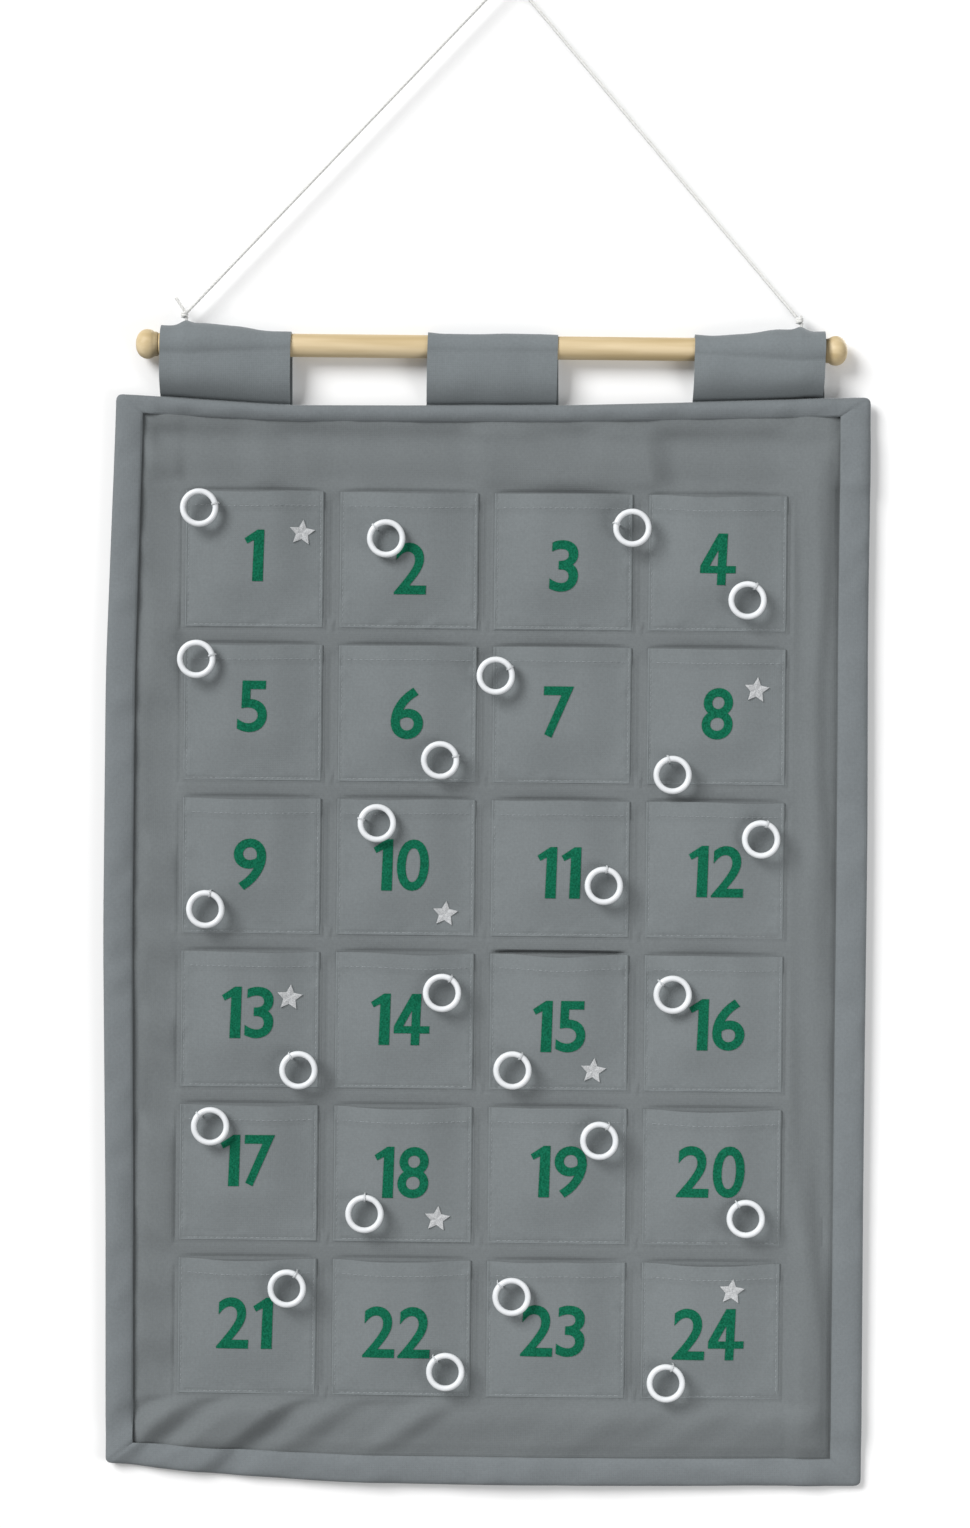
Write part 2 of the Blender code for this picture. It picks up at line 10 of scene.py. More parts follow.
import bmesh
import bpy
import numpy as np
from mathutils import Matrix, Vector

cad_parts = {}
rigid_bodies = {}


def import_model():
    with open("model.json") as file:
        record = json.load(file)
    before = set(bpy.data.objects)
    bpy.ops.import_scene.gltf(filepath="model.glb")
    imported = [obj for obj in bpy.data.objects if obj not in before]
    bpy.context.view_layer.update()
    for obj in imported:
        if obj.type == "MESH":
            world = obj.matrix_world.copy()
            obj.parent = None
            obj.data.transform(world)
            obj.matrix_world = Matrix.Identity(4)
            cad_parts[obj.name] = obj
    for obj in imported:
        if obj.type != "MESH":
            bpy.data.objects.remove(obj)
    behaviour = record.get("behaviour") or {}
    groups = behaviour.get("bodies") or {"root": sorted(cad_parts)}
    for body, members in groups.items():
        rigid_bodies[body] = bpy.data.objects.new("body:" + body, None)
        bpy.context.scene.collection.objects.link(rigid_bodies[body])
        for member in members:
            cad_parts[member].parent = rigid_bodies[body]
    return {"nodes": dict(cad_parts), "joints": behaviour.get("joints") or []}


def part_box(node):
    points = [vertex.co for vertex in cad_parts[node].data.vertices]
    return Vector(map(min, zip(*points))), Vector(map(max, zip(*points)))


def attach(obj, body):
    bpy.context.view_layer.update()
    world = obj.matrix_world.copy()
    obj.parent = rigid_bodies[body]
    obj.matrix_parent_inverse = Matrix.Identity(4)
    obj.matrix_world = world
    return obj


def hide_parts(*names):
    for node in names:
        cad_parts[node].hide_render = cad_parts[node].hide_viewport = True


# Places and sizes shared with the CAD
CENTRE_X = -0.008
ROD_Z = -0.2193
PANEL_WIDTH = 0.450
PANEL_HEIGHT = 0.647
PANEL_DROP = 0.0327
PANEL_Y = 0.0021
PANEL_THICKNESS = 0.0016
PANEL_INSET = 0.0014
CLEARANCE = 0.0003
FOLD_HEIGHT = 0.0022
FOLD_WIDTH = 0.480
FOLD_LEAN_SHARE = 0.55
FOLD_START_SHARE = 0.12
EDGE_DRAW = 0.0090
TOP_EDGE_SHARES = ((0, 0.33), (0.22, -0.33), (0.45, -0.24), (0.60, -0.15), (0.77, 0.13), (1, 0.59))
BOTTOM_EDGE_SHARES = ((0, 1), (0.15, 0.42), (0.30, 0), (1, 0))
LEFT_EDGE_SHARES = ((0, 0), (0.25, 0.36), (0.50, 0.36), (0.75, 0.10), (1, 0))

# The edges' further way out and down in the photograph, past the CAD
FURTHER_DRAW = 0.0030
LEFT_DRAW_SHARES = ((0, 0), (0.25, 0.5), (0.50, 0.5), (0.75, 0.3), (1, 0.1))
RIGHT_DRAW_SHARES = ((0, 1), (0.08, 1.1), (0.2, 0.9), (0.40, 1.2), (0.60, 1.1), (0.75, 1.1), (1, 1.3))
BOTTOM_DRAW_SHARES = ((0, 0.4), (0.12, 0.9), (0.30, 0.8), (0.42, 1.1), (0.75, 1), (0.85, 0.8), (1, 0.8))
RIGHT_DRAW_REACH = 0.0270

# Margins, pockets, rings, rod, tabs and cord, as in the CAD
SIDE_MARGIN = 0.04345
TOP_MARGIN = 0.05475
BOTTOM_MARGIN = 0.04975
POCKET_WIDTH = 0.0850
POCKET_HEIGHT = 0.0820
COLUMN_GAP = 0.0077
RING_DIAMETER = 0.0230
RING_SECTION = 0.0035
ROD_DIAMETER = 0.0140
ROD_LENGTH = 0.4000
TENON_DIAMETER = 0.0080
TENON_LENGTH = 0.0085
TAB_WIDTH = 0.0780
TAB_SPREAD = 0.1600
TAB_OVERLAP = 0.0140
CORD_DIAMETER = 0.0022
CORD_SPREAD = 0.1845
KNOT_RISE = 0.0178
HOOK_RADIUS = 0.0050

# How finely the pieces are cut
PANEL_STEP = 0.0025
POCKET_STEP = 0.0016
BINDING_STEP = 0.0020
TAB_STEP = 0.0013
DIGIT_STEP = 0.0026
CORD_STEP = 0.0007
RING_STEPS = 72
RING_SIDES = 18
TURNED_SIDES = 64
STRAND_SIDES = 6
STITCH_SIDES = 5
RIM_WIDTH = 0.0050
RIM_STEP = 0.0007
ARC_STEPS = 28
LEG_STEPS = 20
TONGUE_STEPS = 7
OUTLINE_STEPS = 6
KNOB_STEPS = 22
BEND_STEPS = 16
LOOP_STEPS = 40
KNOT_STEPS = 60

# Wrinkles: broad ones all over, folds from the top hem and in the right margin, creases at the bottom,
# and the dips beside seams. Stretches lengthen wrinkles, and leans slant them.
BROAD_SIZE = 0.060
BROAD_HEIGHT = 0.0014
BROAD_STRETCH = 2
GATHER_SIZE = 0.019
GATHER_HEIGHT = 0.0060
GATHER_LEAN = 6
GATHER_STRETCH = 4
CREASE_SIZE = 0.019
CREASE_HEIGHT = 0.0046
CREASE_LEAN = -1.2
CREASE_STRETCH = 3
PULL_SIZE = 0.017
PULL_HEIGHT = 0.0030
PULL_LEAN = 0.5
PULL_STRETCH = 3
HEM_RISE = 2
SIDE_RISE = 1.3
QUIET_SHARE = 0.25
RIGHT_SHARE = 0.8
GATHER_SHARES = ((0, 0.35), (0.42, 0.35), (0.52, 1), (0.70, 1), (0.80, 0.45), (1, 0.6))
SEAM_DIP = 0.0008
BOTTOM_DIP = 0.0002
SEAM_OFFSET = 0.0013
SEAM_WIDTH = 0.0011
GAP_DIP = 0.0012
GAP_WIDTH = 0.0027
MOUTH_DIP = 0.0007
BINDING_DIP = 0.0014
BINDING_DIP_WIDTH = 0.0026
TOP_DIP = 0.0005
TOP_DIP_WIDTH = 0.0050
RIDGE_INSET = 0.0290
RIDGE_WIDTH = 0.0070
RIDGE_HEIGHT = 0.0046
RIDGE_WANDER = 0.0020
RIDGE_SHARES = ((0, 0.5), (0.10, 1), (0.42, 1), (0.55, 0.25), (1, 0.1))
VALLEY_DEPTH = 0.0030
VALLEY_DROP = 0.0225
VALLEY_WIDTH = 0.0090
BELLY_HEIGHT = 0.0019
BELLY_RISE = 0.0380
BELLY_WIDTH = 0.0100
SINK_DEPTH = 0.0018
SINK_WIDTH = 0.0110
SINK_SHARES = ((0, 0.8), (0.5, 1), (1, 1.2))
GAPING_DIP = 0.0040
SEAM_REACH = 0.0050
SEAM_STEP = 0.0008
EDGE_EASE = 0.03
EASE_STEPS = 5
CREASE_SHARES = ((0, 1), (0.35, 0.9), (0.60, 0.3), (1, 0.2))

# The pockets
POCKET_THICKNESS = 0.0007
POCKET_INSET = 0.0010
POCKET_EDGE_LIFT = 0.0013
POCKET_FOOT_LIFT = 0.0009
EDGE_ROLL = 0.0006
POCKET_BEHIND_CAD = 0.0004
POCKET_DEPTH = 0.0052
POCKET_MOUTH_DEPTH = 0.0066
POCKET_CAD_LIFT = 0.00145
POCKET_RAMP = 0.032
POCKET_UNEVEN_SIZE = 0.034
POCKET_LEAN = 3
POCKET_UNEVEN_HEIGHT = 0.0005
PUCKER_SIZE = 0.008
PUCKER_HEIGHT = 0.0004
PUCKER_REACH = 0.012
HEM_HEIGHT = 0.0095
HEM_STEP = 0.0005
MOUTH_SAG = 0.0007
MOUTH_WAVE = 0.0010
MOUTH_WAVE_SIZE = 0.040
GAPING_POCKET = 15
GAPING_SAG = 0.0022
GAPING_START_SHARE = 0.10
GAPING_END_SHARE = 0.92
SAG_START_SHARE = 0.3

# The stitches
STITCH_LENGTH = 0.0026
STITCH_PITCH = 0.0034
STITCH_DIAMETER = 0.00040
STITCH_LIFT = 0.00012
STITCH_SINK = 0.0003
STITCH_INSET = 0.0019
STITCH_SHARES = np.array([0, 0.12, 0.5, 0.88, 1])
HEM_SAG_SHARE = 0.85
HEM_STITCH_DROP = 0.0085
GROOVE_DEPTH = 0.00035
GROOVE_WIDTH = 0.0010

# The edge binding's section: shares of its flap's width, with depths in front of or behind the panel
BINDING_SIDE = 0.0165
BINDING_TOP = 0.0105
BINDING_BOTTOM = 0.0160
BINDING_DEPTH = 0.0034
BINDING_SECTION_SHARES = (
    (1.0, -0.58), (0.98, -0.80), (0.90, -0.93), (0.75, -1.05), (0.55, -1.12), (0.35, -1.08), (0.18, -0.92),
    (0.07, -0.66), (0.02, -0.36), (0, 0),
    (0.02, 0.35), (0.10, 0.62), (0.30, 0.74), (0.60, 0.76), (0.90, 0.74), (0.98, 0.70), (1.0, 0.50),
    (0.98, 0.43), (0.60, 0.42), (0.17, 0.42), (0.14, 0.20), (0.14, -0.20), (0.17, -0.42), (0.60, -0.50),
    (0.98, -0.56),
)
BINDING_WAVE_SIZE = 0.012
BINDING_WAVE_HEIGHT = 0.0009
BINDING_WAVE_RISE = 5
BINDING_EASE = 0.35
FLAP_ROLLS = (0.0022, 0, 0, 0.0008)  # top, right, bottom and left
ROLL_START_SHARE = 0.2
CORNER_RADIUS = 0.0035
CORNER_SHARE = 0.5
MITRE_DEPTH = 0.0006

# The tabs
TAB_THICKNESS = 0.0012
TAB_FRONT_Y = 0.0050
TAB_LAYER_GAP = 0.0004
TAB_SWELL = 0.0043
OUTER_SWELL_SHARE = 0.7
TAB_PEAK = 0.0022
TAB_PEAK_WIDTH = 0.0042
TAB_UNEVEN_SIZE = 0.018
TAB_UNEVEN_HEIGHT = 0.0011
TAB_FOOT_SHARE = 0.5
TAB_CURL = 3.5
TAB_FOOT_GAP = 0.0010
TAB_BACK_BULGE = 0.0029
TAB_BACK_EASE = 0.0020
TAB_SKEW = 0.0016

# Numbers and stars
DIGIT_HEIGHT = 0.0308
DIGIT_MIDDLE_SHARE = 0.5
DIGIT_GAP_SHARE = 0.07
DIGIT_LEAN = 0.04
DIGIT_RAISE = 0.00035
DIGIT_SINK = 0.0001
MERGE_DISTANCE = 0.00001
DIGIT_FATTEN_SHARE = 0.015
DIGIT_WIDTH_SHARES = {
    "0": 0.62, "1": 0.40, "2": 0.62, "3": 0.55, "4": 0.69,
    "5": 0.57, "6": 0.63, "7": 0.58, "8": 0.60, "9": 0.63,
}
ONE_OUTLINE_SHARES = ((0.46, 0), (0.98, 0), (0.94, 1), (0.62, 1), (0.0, 0.83), (0.14, 0.73), (0.46, 0.80))
FOUR_OUTLINE_SHARES = (
    (0, 0.23), (0.49, 0.23), (0.49, 0), (0.73, 0), (0.73, 0.23), (1, 0.23), (1, 0.37),
    (0.73, 0.37), (0.73, 1), (0.47, 1), (0, 0.37), (0.26, 0.37), (0.49, 0.37), (0.49, 0.68),
)
FOUR_FACES = (
    (0, 1, 12, 11, 10), (1, 2, 3, 4), (1, 4, 7, 12), (4, 5, 6, 7), (12, 7, 8, 9, 13), (10, 11, 13, 9),
)
TYPED_DIGITS = "02356789"
NUMBER_CENTRE_SHARES = (
    (0.50, 0.525), (0.515, 0.44), (0.505, 0.47), (0.50, 0.53),
    (0.50, 0.545), (0.50, 0.505), (0.47, 0.525), (0.505, 0.525),
    (0.49, 0.515), (0.465, 0.52), (0.49, 0.475), (0.505, 0.495),
    (0.485, 0.555), (0.47, 0.515), (0.50, 0.475), (0.52, 0.50),
    (0.49, 0.595), (0.49, 0.52), (0.505, 0.54), (0.49, 0.55),
    (0.49, 0.53), (0.47, 0.475), (0.48, 0.50), (0.485, 0.485),
)
STAR_SIZE = 0.0158
STAR_CENTRE_SHARES = {
    1: (0.835, 0.695), 8: (0.78, 0.70), 10: (0.78, 0.165), 13: (0.78, 0.665),
    15: (0.745, 0.15), 18: (0.745, 0.18), 24: (0.645, 0.80),
}
STAR_INNER_SHARE = 0.48
STAR_POINTS = 5
STAR_TURN = 0.1
STAR_RIDGE = 0.0005
STAR_DIMPLE_SHARE = 0.5

# The threads that hold the rings
THREAD_DIAMETER = 0.00040
THREAD_SHIFT = 0.00030
THREAD_GAP = 0.00025
THREAD_STEPS = 12

# The rod, the knobs and the cord
ROD_ROUNDING = 0.0006
SKIN = 0.00005
KNOB_NECK = 0.0132
KNOB_DIAMETER = 0.0178
KNOB_MIDDLE = 0.0064
KNOB_REACH = 0.0070
KNOB_SQUARENESS = 0.85
KNOB_START_TURN = -0.62
TIP_RADIUS = 0.0003
PLY_SHARE = 0.56
PLIES = 3
CORD_LAY = 0.0085
KNOT_DIAMETER = 0.0052
KNOT_WRAP = 0.0015
KNOT_TURNS = 2.2
KNOT_HEIGHT = 0.0030
KNOT_CORD_SHARE = 0.9
LOOP_START_TURN = 0.5 * math.pi
LOOP_END_TURN = 2.36 * math.pi
LEFT_TAIL_WAY = (-0.55, -0.06, 0.83)
RIGHT_TAIL_WAY = (0.25, 0.3, 0.5)
LEFT_TAIL = 0.0105
RIGHT_TAIL = 0.0020

# The camera: PIXEL_SIZE is what one pixel of the photograph covers at the calendar
PIXEL_SIZE = 0.0006
PHOTO_HEIGHT_PIXELS = 1528
AIM = Vector((-0.0095, 0, -0.4693))
CAMERA_LENS = 85
SENSOR = 36
CAMERA_ROLL_DEGREES = 0.58

# The wall, each lamp's name, place, size and power, and the world
WALL_Y = 0.0094
WALL_GAP = 0.0003
WALL_SIZE = 3.0
WALL_COLOUR = (0.89, 0.89, 0.89)
LAMPS = (
    ("key", (-6.4, -7.0, 4.9), 5.6, 1370),
    ("fill", (1.0, -0.9, -0.95), 0.8, 6.5),
    ("back", (2.2, 2.8, 1.5), 2.4, 150),
)
WORLD_STRENGTH = 0.38
BACKGROUND_STRENGTH = 1.0

# How far and how finely the wall looks for pieces behind it, and the free share above which it shows
BEHIND_REACH = 1.2
BEHIND_SAMPLES = 24
FREE_SHARE = 0.985

# Materials: grain sizes, relief, roughness and gloss
CLOTH_GRAIN = 0.0014
CLOTH_CLOUD = 0.045
THREAD_PITCH = 0.0011
FELT_GRAIN = 0.0010
FUZZ_GRAIN = 0.0006
PLASTIC_GRAIN = 0.010
WOOD_GRAIN = 0.007
GRAIN_STRETCH = 0.06
FINE_RELIEF = 0.00025
SMOOTH_RELIEF = 0.00004
CLOTH_GRAIN_SHARE = 0.65
CLOTH_CONTRAST = 0.07
RAMP_SHARES = (0.35, 0.65)
WAVES_PER_SCALE = math.tau / 20
THREAD_WOBBLE = 0.8
KNOB_GRAIN_STRETCH = 0.3
FIBRE_STRETCH = (1, 1, 3)
FINE_GRAIN_SHARE = 0.25
SOFT_DETAIL, PLAIN_DETAIL, FINE_DETAIL, WOOD_DETAIL = 2, 3, 4, 6
WEAK_BUMP, WOOD_BUMP, STRONG_BUMP = 0.3, 0.4, 0.6
CLOTH_ROUGHNESS = 0.92
FELT_ROUGHNESS = 0.95
THREAD_ROUGHNESS = 0.8
PLASTIC_ROUGHNESS = 0.34
WOOD_ROUGHNESS = 0.55
WALL_ROUGHNESS = 0.9
MATT_GLOSS = 0.1
FELT_GLOSS = 0.05
SHEEN = 0.12
SHEEN_ROUGHNESS = 0.6

# Seeds of the unevenness
BROAD_SEED, GATHER_SEED, CREASE_SEED, RIDGE_SEED, PULL_SEED, BINDING_SEED = 24, 25, 26, 27, 28, 31
POCKET_SEED, TAB_SEED, PUCKER_SEED, MOUTH_SEED = 24, 54, 74, 114

# Degrees up to which a mesh's edges are smooth
EVEN_DEGREES = 40
FOLDED_DEGREES = 50
ROUND_DEGREES = 60

# Counts, directions and the panel's edges
ROWS = 6
COLUMNS = 4
NUMBERS = range(1, ROWS * COLUMNS + 1)
LATTICE = 64
GUIDE_SIDES = 4
FORWARD = np.array([0, -1, 0])
ANY_WAY = (0.3, 0.5, 0.8)
EASE_SHIFTS = np.linspace(-EDGE_EASE, EDGE_EASE, EASE_STEPS)
PANEL_TOP = ROD_Z - PANEL_DROP
PANEL_LEFT = CENTRE_X - PANEL_WIDTH / 2
PANEL_RIGHT = CENTRE_X + PANEL_WIDTH / 2
PANEL_BOTTOM = PANEL_TOP - PANEL_HEIGHT

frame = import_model()


# Helpers for shapes


@functools.lru_cache(maxsize=None)
def lattice(seed):
    return np.random.RandomState(seed).uniform(-1, 1, (LATTICE, LATTICE))


def smooth(share):
    return share * share * (3 - 2 * share)


def smooth_step(value, start, end):
    return smooth(np.clip((value - start) / (end - start), 0, 1))


def blend(start, end, share):
    return start + (end - start) * share


def fade(distance, reach):
    """1 at no distance, down to 0 at a reach."""
    return 1 - np.clip(distance / reach, 0, 1)


def bell(distance, width):
    return np.exp(-((distance / width) ** 2))


def value_noise(x, z, size, seed):
    """Smooth noise between -1 and 1 over arrays of places, with features about size across."""
    values = lattice(seed)
    u, v = x / size, z / size
    column, row = np.floor(u).astype(int), np.floor(v).astype(int)
    across, down = smooth(u - column), smooth(v - row)
    corners = [values[(row + i) % LATTICE, (column + j) % LATTICE] for i in (0, 1) for j in (0, 1)]
    top = corners[0] * (1 - across) + corners[1] * across
    bottom = corners[2] * (1 - across) + corners[3] * across
    return top * (1 - down) + bottom * down


def lines(start, end, step):
    """Evenly spaced values from start to end, about a step apart."""
    return np.linspace(start, end, max(2, int(round(abs(end - start) / step))) + 1)


def finer_at_ends(length, step, edge, edge_step):
    """Values from 0 to a length that stand closer together within an edge's width of each end."""
    first = lines(0, edge, edge_step)
    return np.concatenate([first, lines(edge, length - edge, step)[1:-1], length - first[::-1]])


def linked(name, data):
    """A new object in the scene."""
    obj = bpy.data.objects.new(name, data)
    bpy.context.scene.collection.objects.link(obj)
    return obj


def flat_object(name, points, faces, material):
    mesh = bpy.data.meshes.new(name)
    mesh.from_pydata(points, [], faces)
    mesh.materials.append(material)
    return linked(name, mesh)


def new_mesh(name, points, faces, material, smooth_degrees=EVEN_DEGREES):
    """An object with smooth shading and all its faces turned outwards."""
    faces = faces if isinstance(faces, list) else faces.tolist()
    obj = flat_object(name, np.asarray(points).tolist(), faces, material)
    mesh = obj.data
    shape = bmesh.new()
    shape.from_mesh(mesh)
    bmesh.ops.recalc_face_normals(shape, faces=shape.faces)
    shape.to_mesh(mesh)
    shape.free()
    mesh.polygons.foreach_set("use_smooth", [True] * len(mesh.polygons))
    mesh.set_sharp_from_angle(angle=math.radians(smooth_degrees))
    return obj


def grid_faces(rows, columns, first=0):
    """Quads of a grid of points whose first has that number."""
    here = first + np.arange(rows - 1)[:, None] * columns + np.arange(columns - 1)
    return np.stack([here, here + 1, here + columns + 1, here + columns], -1).reshape(-1, 4)


def slab(name, front, back, material):
    """A sheet of cloth between two grids of points."""
    rows, columns = front.shape[:2]
    count = rows * columns
    index = np.arange(count).reshape(rows, columns)
    border = np.concatenate([index[0, :-1], index[:-1, -1], index[-1, :0:-1], index[:0:-1, 0]])
    ahead = np.roll(border, -1)
    sides = np.stack([border, ahead, ahead + count, border + count], -1)
    faces = np.concatenate([grid_faces(rows, columns), grid_faces(rows, columns, count), sides])
    return new_mesh(name, np.concatenate([front.reshape(-1, 3), back.reshape(-1, 3)]), faces, material)


def tube_faces(stations, sides, first=0, closed=False):
    """Quads through rings of points, with a face on each end unless the rings go round in a loop."""
    here = np.arange(stations if closed else stations - 1)[:, None] * sides
    there = (here + sides) % (stations * sides)
    i = np.arange(sides)
    j = (i + 1) % sides
    quads = first + np.stack([here + i, here + j, there + j, there + i], -1).reshape(-1, 4)
    faces = quads.tolist()
    if not closed:
        faces += [(first + i).tolist(), (first + (stations - 1) * sides + i).tolist()]
    return faces


def join_tubes(name, tubes, material, smooth_degrees=ROUND_DEGREES, closed=False):
    """One mesh of tubes, each an array of rings of points."""
    faces = []
    first = 0
    for tube in tubes:
        stations, sides = tube.shape[:2]
        faces += tube_faces(stations, sides, first, closed)
        first += stations * sides
    points = np.concatenate([tube.reshape(-1, 3) for tube in tubes])
    return new_mesh(name, points, faces, material, smooth_degrees)


def full_turn(count):
    return math.tau * np.arange(count) / count


def circling(turns, first, second):
    """Directions at some turns from a first one towards a second one."""
    return np.cos(turns)[:, None] * first + np.sin(turns)[:, None] * second


def round_rings(path, radius, sides, closed=False):
    """Circles of points square to a path, turning as little as they can along it."""
    path = np.asarray(path, float)
    if closed:
        along = np.roll(path, -1, 0) - np.roll(path, 1, 0)
    else:
        along = np.gradient(path, axis=0)
    along /= np.linalg.norm(along, axis=1)[:, None]
    side = np.cross(along[0], ANY_WAY)
    rings = []
    for point, way in zip(path, along):
        side = side - way * (side @ way)
        side /= np.linalg.norm(side)
        rings.append(point + radius * circling(full_turn(sides), side, np.cross(way, side)))
    return np.array(rings)


def twisted(name, path, diameter, material):
    """A cord of plies laid round a path, as one mesh of closed strands."""
    path = np.asarray(path, float)
    lengths = np.concatenate([[0], np.cumsum(np.linalg.norm(np.diff(path, axis=0), axis=1))])
    spots = lines(0, lengths[-1], CORD_STEP)
    centre = np.stack([np.interp(spots, lengths, values) for values in path.T], -1)
    guide = round_rings(centre, 1, GUIDE_SIDES)
    side, other = guide[:, 0] - centre, guide[:, 1] - centre
    ply = diameter / 2 * PLY_SHARE
    strands = []
    for number in range(PLIES):
        turn = math.tau * (spots / CORD_LAY + number / PLIES)
        strand = centre + (diameter / 2 - ply) * circling(turn, side, other)
        strands.append(round_rings(strand, ply, STRAND_SIDES))
    return join_tubes(name, strands, material)


def settle(obj, node, body):
    """Has a piece stand in for a CAD node, which it hides, and ride on its body, and gives it back."""
    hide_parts(node)
    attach(obj, body)
    return obj


# Materials


def new_node(tree, kind):
    return tree.nodes.new("ShaderNode" + kind)


def node_material(name, colour, roughness):
    material = bpy.data.materials.new(name)
    material.use_nodes = True
    tree = material.node_tree
    shader = tree.nodes["Principled BSDF"]
    shader.inputs["Base Color"].default_value = (*colour, 1)
    shader.inputs["Roughness"].default_value = roughness
    return material, tree, shader


def noise(tree, grain, detail=PLAIN_DETAIL, stretch=(1, 1, 1)):
    """Noise in the object's own space with features about a grain across."""
    place = new_node(tree, "TexCoord")
    mapping = new_node(tree, "Mapping")
    mapping.inputs["Scale"].default_value = stretch
    texture = new_node(tree, "TexNoise")
    texture.inputs["Scale"].default_value = 1 / grain
    texture.inputs["Detail"].default_value = detail
    tree.links.new(place.outputs["Object"], mapping.inputs["Vector"])
    tree.links.new(mapping.outputs["Vector"], texture.inputs["Vector"])
    return texture.outputs["Fac"]


def vary(tree, shader, factor, dark, light):
    """Colours the shader between two colours by a noise."""
    blend = new_node(tree, "ValToRGB")
    for element, position, colour in zip(blend.color_ramp.elements, RAMP_SHARES, (dark, light)):
        element.position = position
        element.color = (*colour, 1)
    tree.links.new(factor, blend.inputs["Fac"])
    tree.links.new(blend.outputs["Color"], shader.inputs["Base Color"])


def roughen(tree, shader, height, depth, strength):
    bump = new_node(tree, "Bump")
    bump.inputs["Distance"].default_value = depth
    bump.inputs["Strength"].default_value = strength
    tree.links.new(height, bump.inputs["Height"])
    tree.links.new(bump.outputs["Normal"], shader.inputs["Normal"])


def combined(tree, first, second, operation):
    joined = new_node(tree, "Math")
    joined.operation = operation
    for given, socket in zip((first, second), joined.inputs):
        if isinstance(given, float):
            socket.default_value = given
        else:
            tree.links.new(given, socket)
    return joined.outputs["Value"]


def weave(tree):
    """Two crossing sets of threads, as a height."""
    place = new_node(tree, "TexCoord")
    waves = []
    for direction in ("X", "Z"):
        wave = new_node(tree, "TexWave")
        wave.bands_direction = direction
        wave.inputs["Scale"].default_value = WAVES_PER_SCALE / THREAD_PITCH
        wave.inputs["Distortion"].default_value = THREAD_WOBBLE
        tree.links.new(place.outputs["Object"], wave.inputs["Vector"])
        waves.append(wave.outputs["Fac"])
    return combined(tree, *waves, "MULTIPLY")


def canvas(name, colour):
    """Matt grey cloth: a fine grain and faint clouds in its colour, and a woven relief."""
    material, tree, shader = node_material(name, colour, CLOTH_ROUGHNESS)
    grain = combined(tree, noise(tree, CLOTH_GRAIN, FINE_DETAIL), CLOTH_GRAIN_SHARE, "MULTIPLY")
    clouds = combined(tree, noise(tree, CLOTH_CLOUD), 1 - CLOTH_GRAIN_SHARE, "MULTIPLY")
    dark = [value * (1 - CLOTH_CONTRAST) for value in colour]
    light = [value * (1 + CLOTH_CONTRAST) for value in colour]
    vary(tree, shader, combined(tree, grain, clouds, "ADD"), dark, light)
    roughen(tree, shader, weave(tree), FINE_RELIEF, WEAK_BUMP)
    shader.inputs["Sheen Weight"].default_value = SHEEN
    shader.inputs["Sheen Roughness"].default_value = SHEEN_ROUGHNESS
    shader.inputs["Specular IOR Level"].default_value = MATT_GLOSS
    return material


def felt():
    material, tree, shader = node_material("green_felt", (0.006, 0.110, 0.058), FELT_ROUGHNESS)
    vary(tree, shader, noise(tree, FELT_GRAIN, FINE_DETAIL), (0.003, 0.075, 0.038), (0.008, 0.140, 0.076))
    roughen(tree, shader, noise(tree, FUZZ_GRAIN), FINE_RELIEF, STRONG_BUMP)
    shader.inputs["Specular IOR Level"].default_value = FELT_GLOSS
    return material


def thread(name, dark, light):
    material, tree, shader = node_material(name, light, THREAD_ROUGHNESS)
    vary(tree, shader, noise(tree, FUZZ_GRAIN), dark, light)
    roughen(tree, shader, noise(tree, FUZZ_GRAIN, SOFT_DETAIL, FIBRE_STRETCH), FINE_RELIEF, STRONG_BUMP)
    return material


def plastic():
    material, tree, shader = node_material("white_plastic", (0.70, 0.72, 0.74), PLASTIC_ROUGHNESS)
    vary(tree, shader, noise(tree, PLASTIC_GRAIN), (0.66, 0.68, 0.70), (0.73, 0.75, 0.77))
    roughen(tree, shader, noise(tree, PLASTIC_GRAIN * FINE_GRAIN_SHARE), SMOOTH_RELIEF, WEAK_BUMP)
    return material


def pine(name, stretch, dark, light):
    """Pale wood whose grain runs along X."""
    material, tree, shader = node_material(name, light, WOOD_ROUGHNESS)
    vary(tree, shader, noise(tree, WOOD_GRAIN, WOOD_DETAIL, (stretch, 1, 1)), dark, light)
    fine = noise(tree, WOOD_GRAIN * FINE_GRAIN_SHARE, PLAIN_DETAIL, (stretch, 1, 1))
    roughen(tree, shader, fine, SMOOTH_RELIEF, WOOD_BUMP)
    return material


def make_materials():
    return {
        # The panel is the pockets' cloth made darker: painted shade for its margins under the hems and for
        # the gaps between the pockets.
        "panel": canvas("panel_canvas_shade_darkened", (0.143, 0.157, 0.162)),
        "pocket": canvas("pocket_canvas", (0.162, 0.179, 0.185)),
        "binding": canvas("binding_canvas", (0.158, 0.175, 0.184)),
        "tab": canvas("tab_canvas", (0.168, 0.188, 0.197)),
        "green": felt(),
        "star": thread("star_thread", (0.34, 0.35, 0.36), (0.54, 0.55, 0.56)),
        "stitch": thread("stitch_thread", (0.19, 0.21, 0.22), (0.28, 0.30, 0.31)),
        "tack": thread("tack_thread", (0.48, 0.50, 0.51), (0.62, 0.64, 0.66)),
        "plastic": plastic(),
        "rod": pine("pine", GRAIN_STRETCH, (0.50, 0.38, 0.20), (0.66, 0.53, 0.33)),
        "knob": pine("pine_end", KNOB_GRAIN_STRETCH, (0.50, 0.38, 0.20), (0.68, 0.55, 0.34)),
        "cord": thread("cotton_cord", (0.66, 0.66, 0.64), (0.80, 0.80, 0.78)),
    }


# The panel and its binding


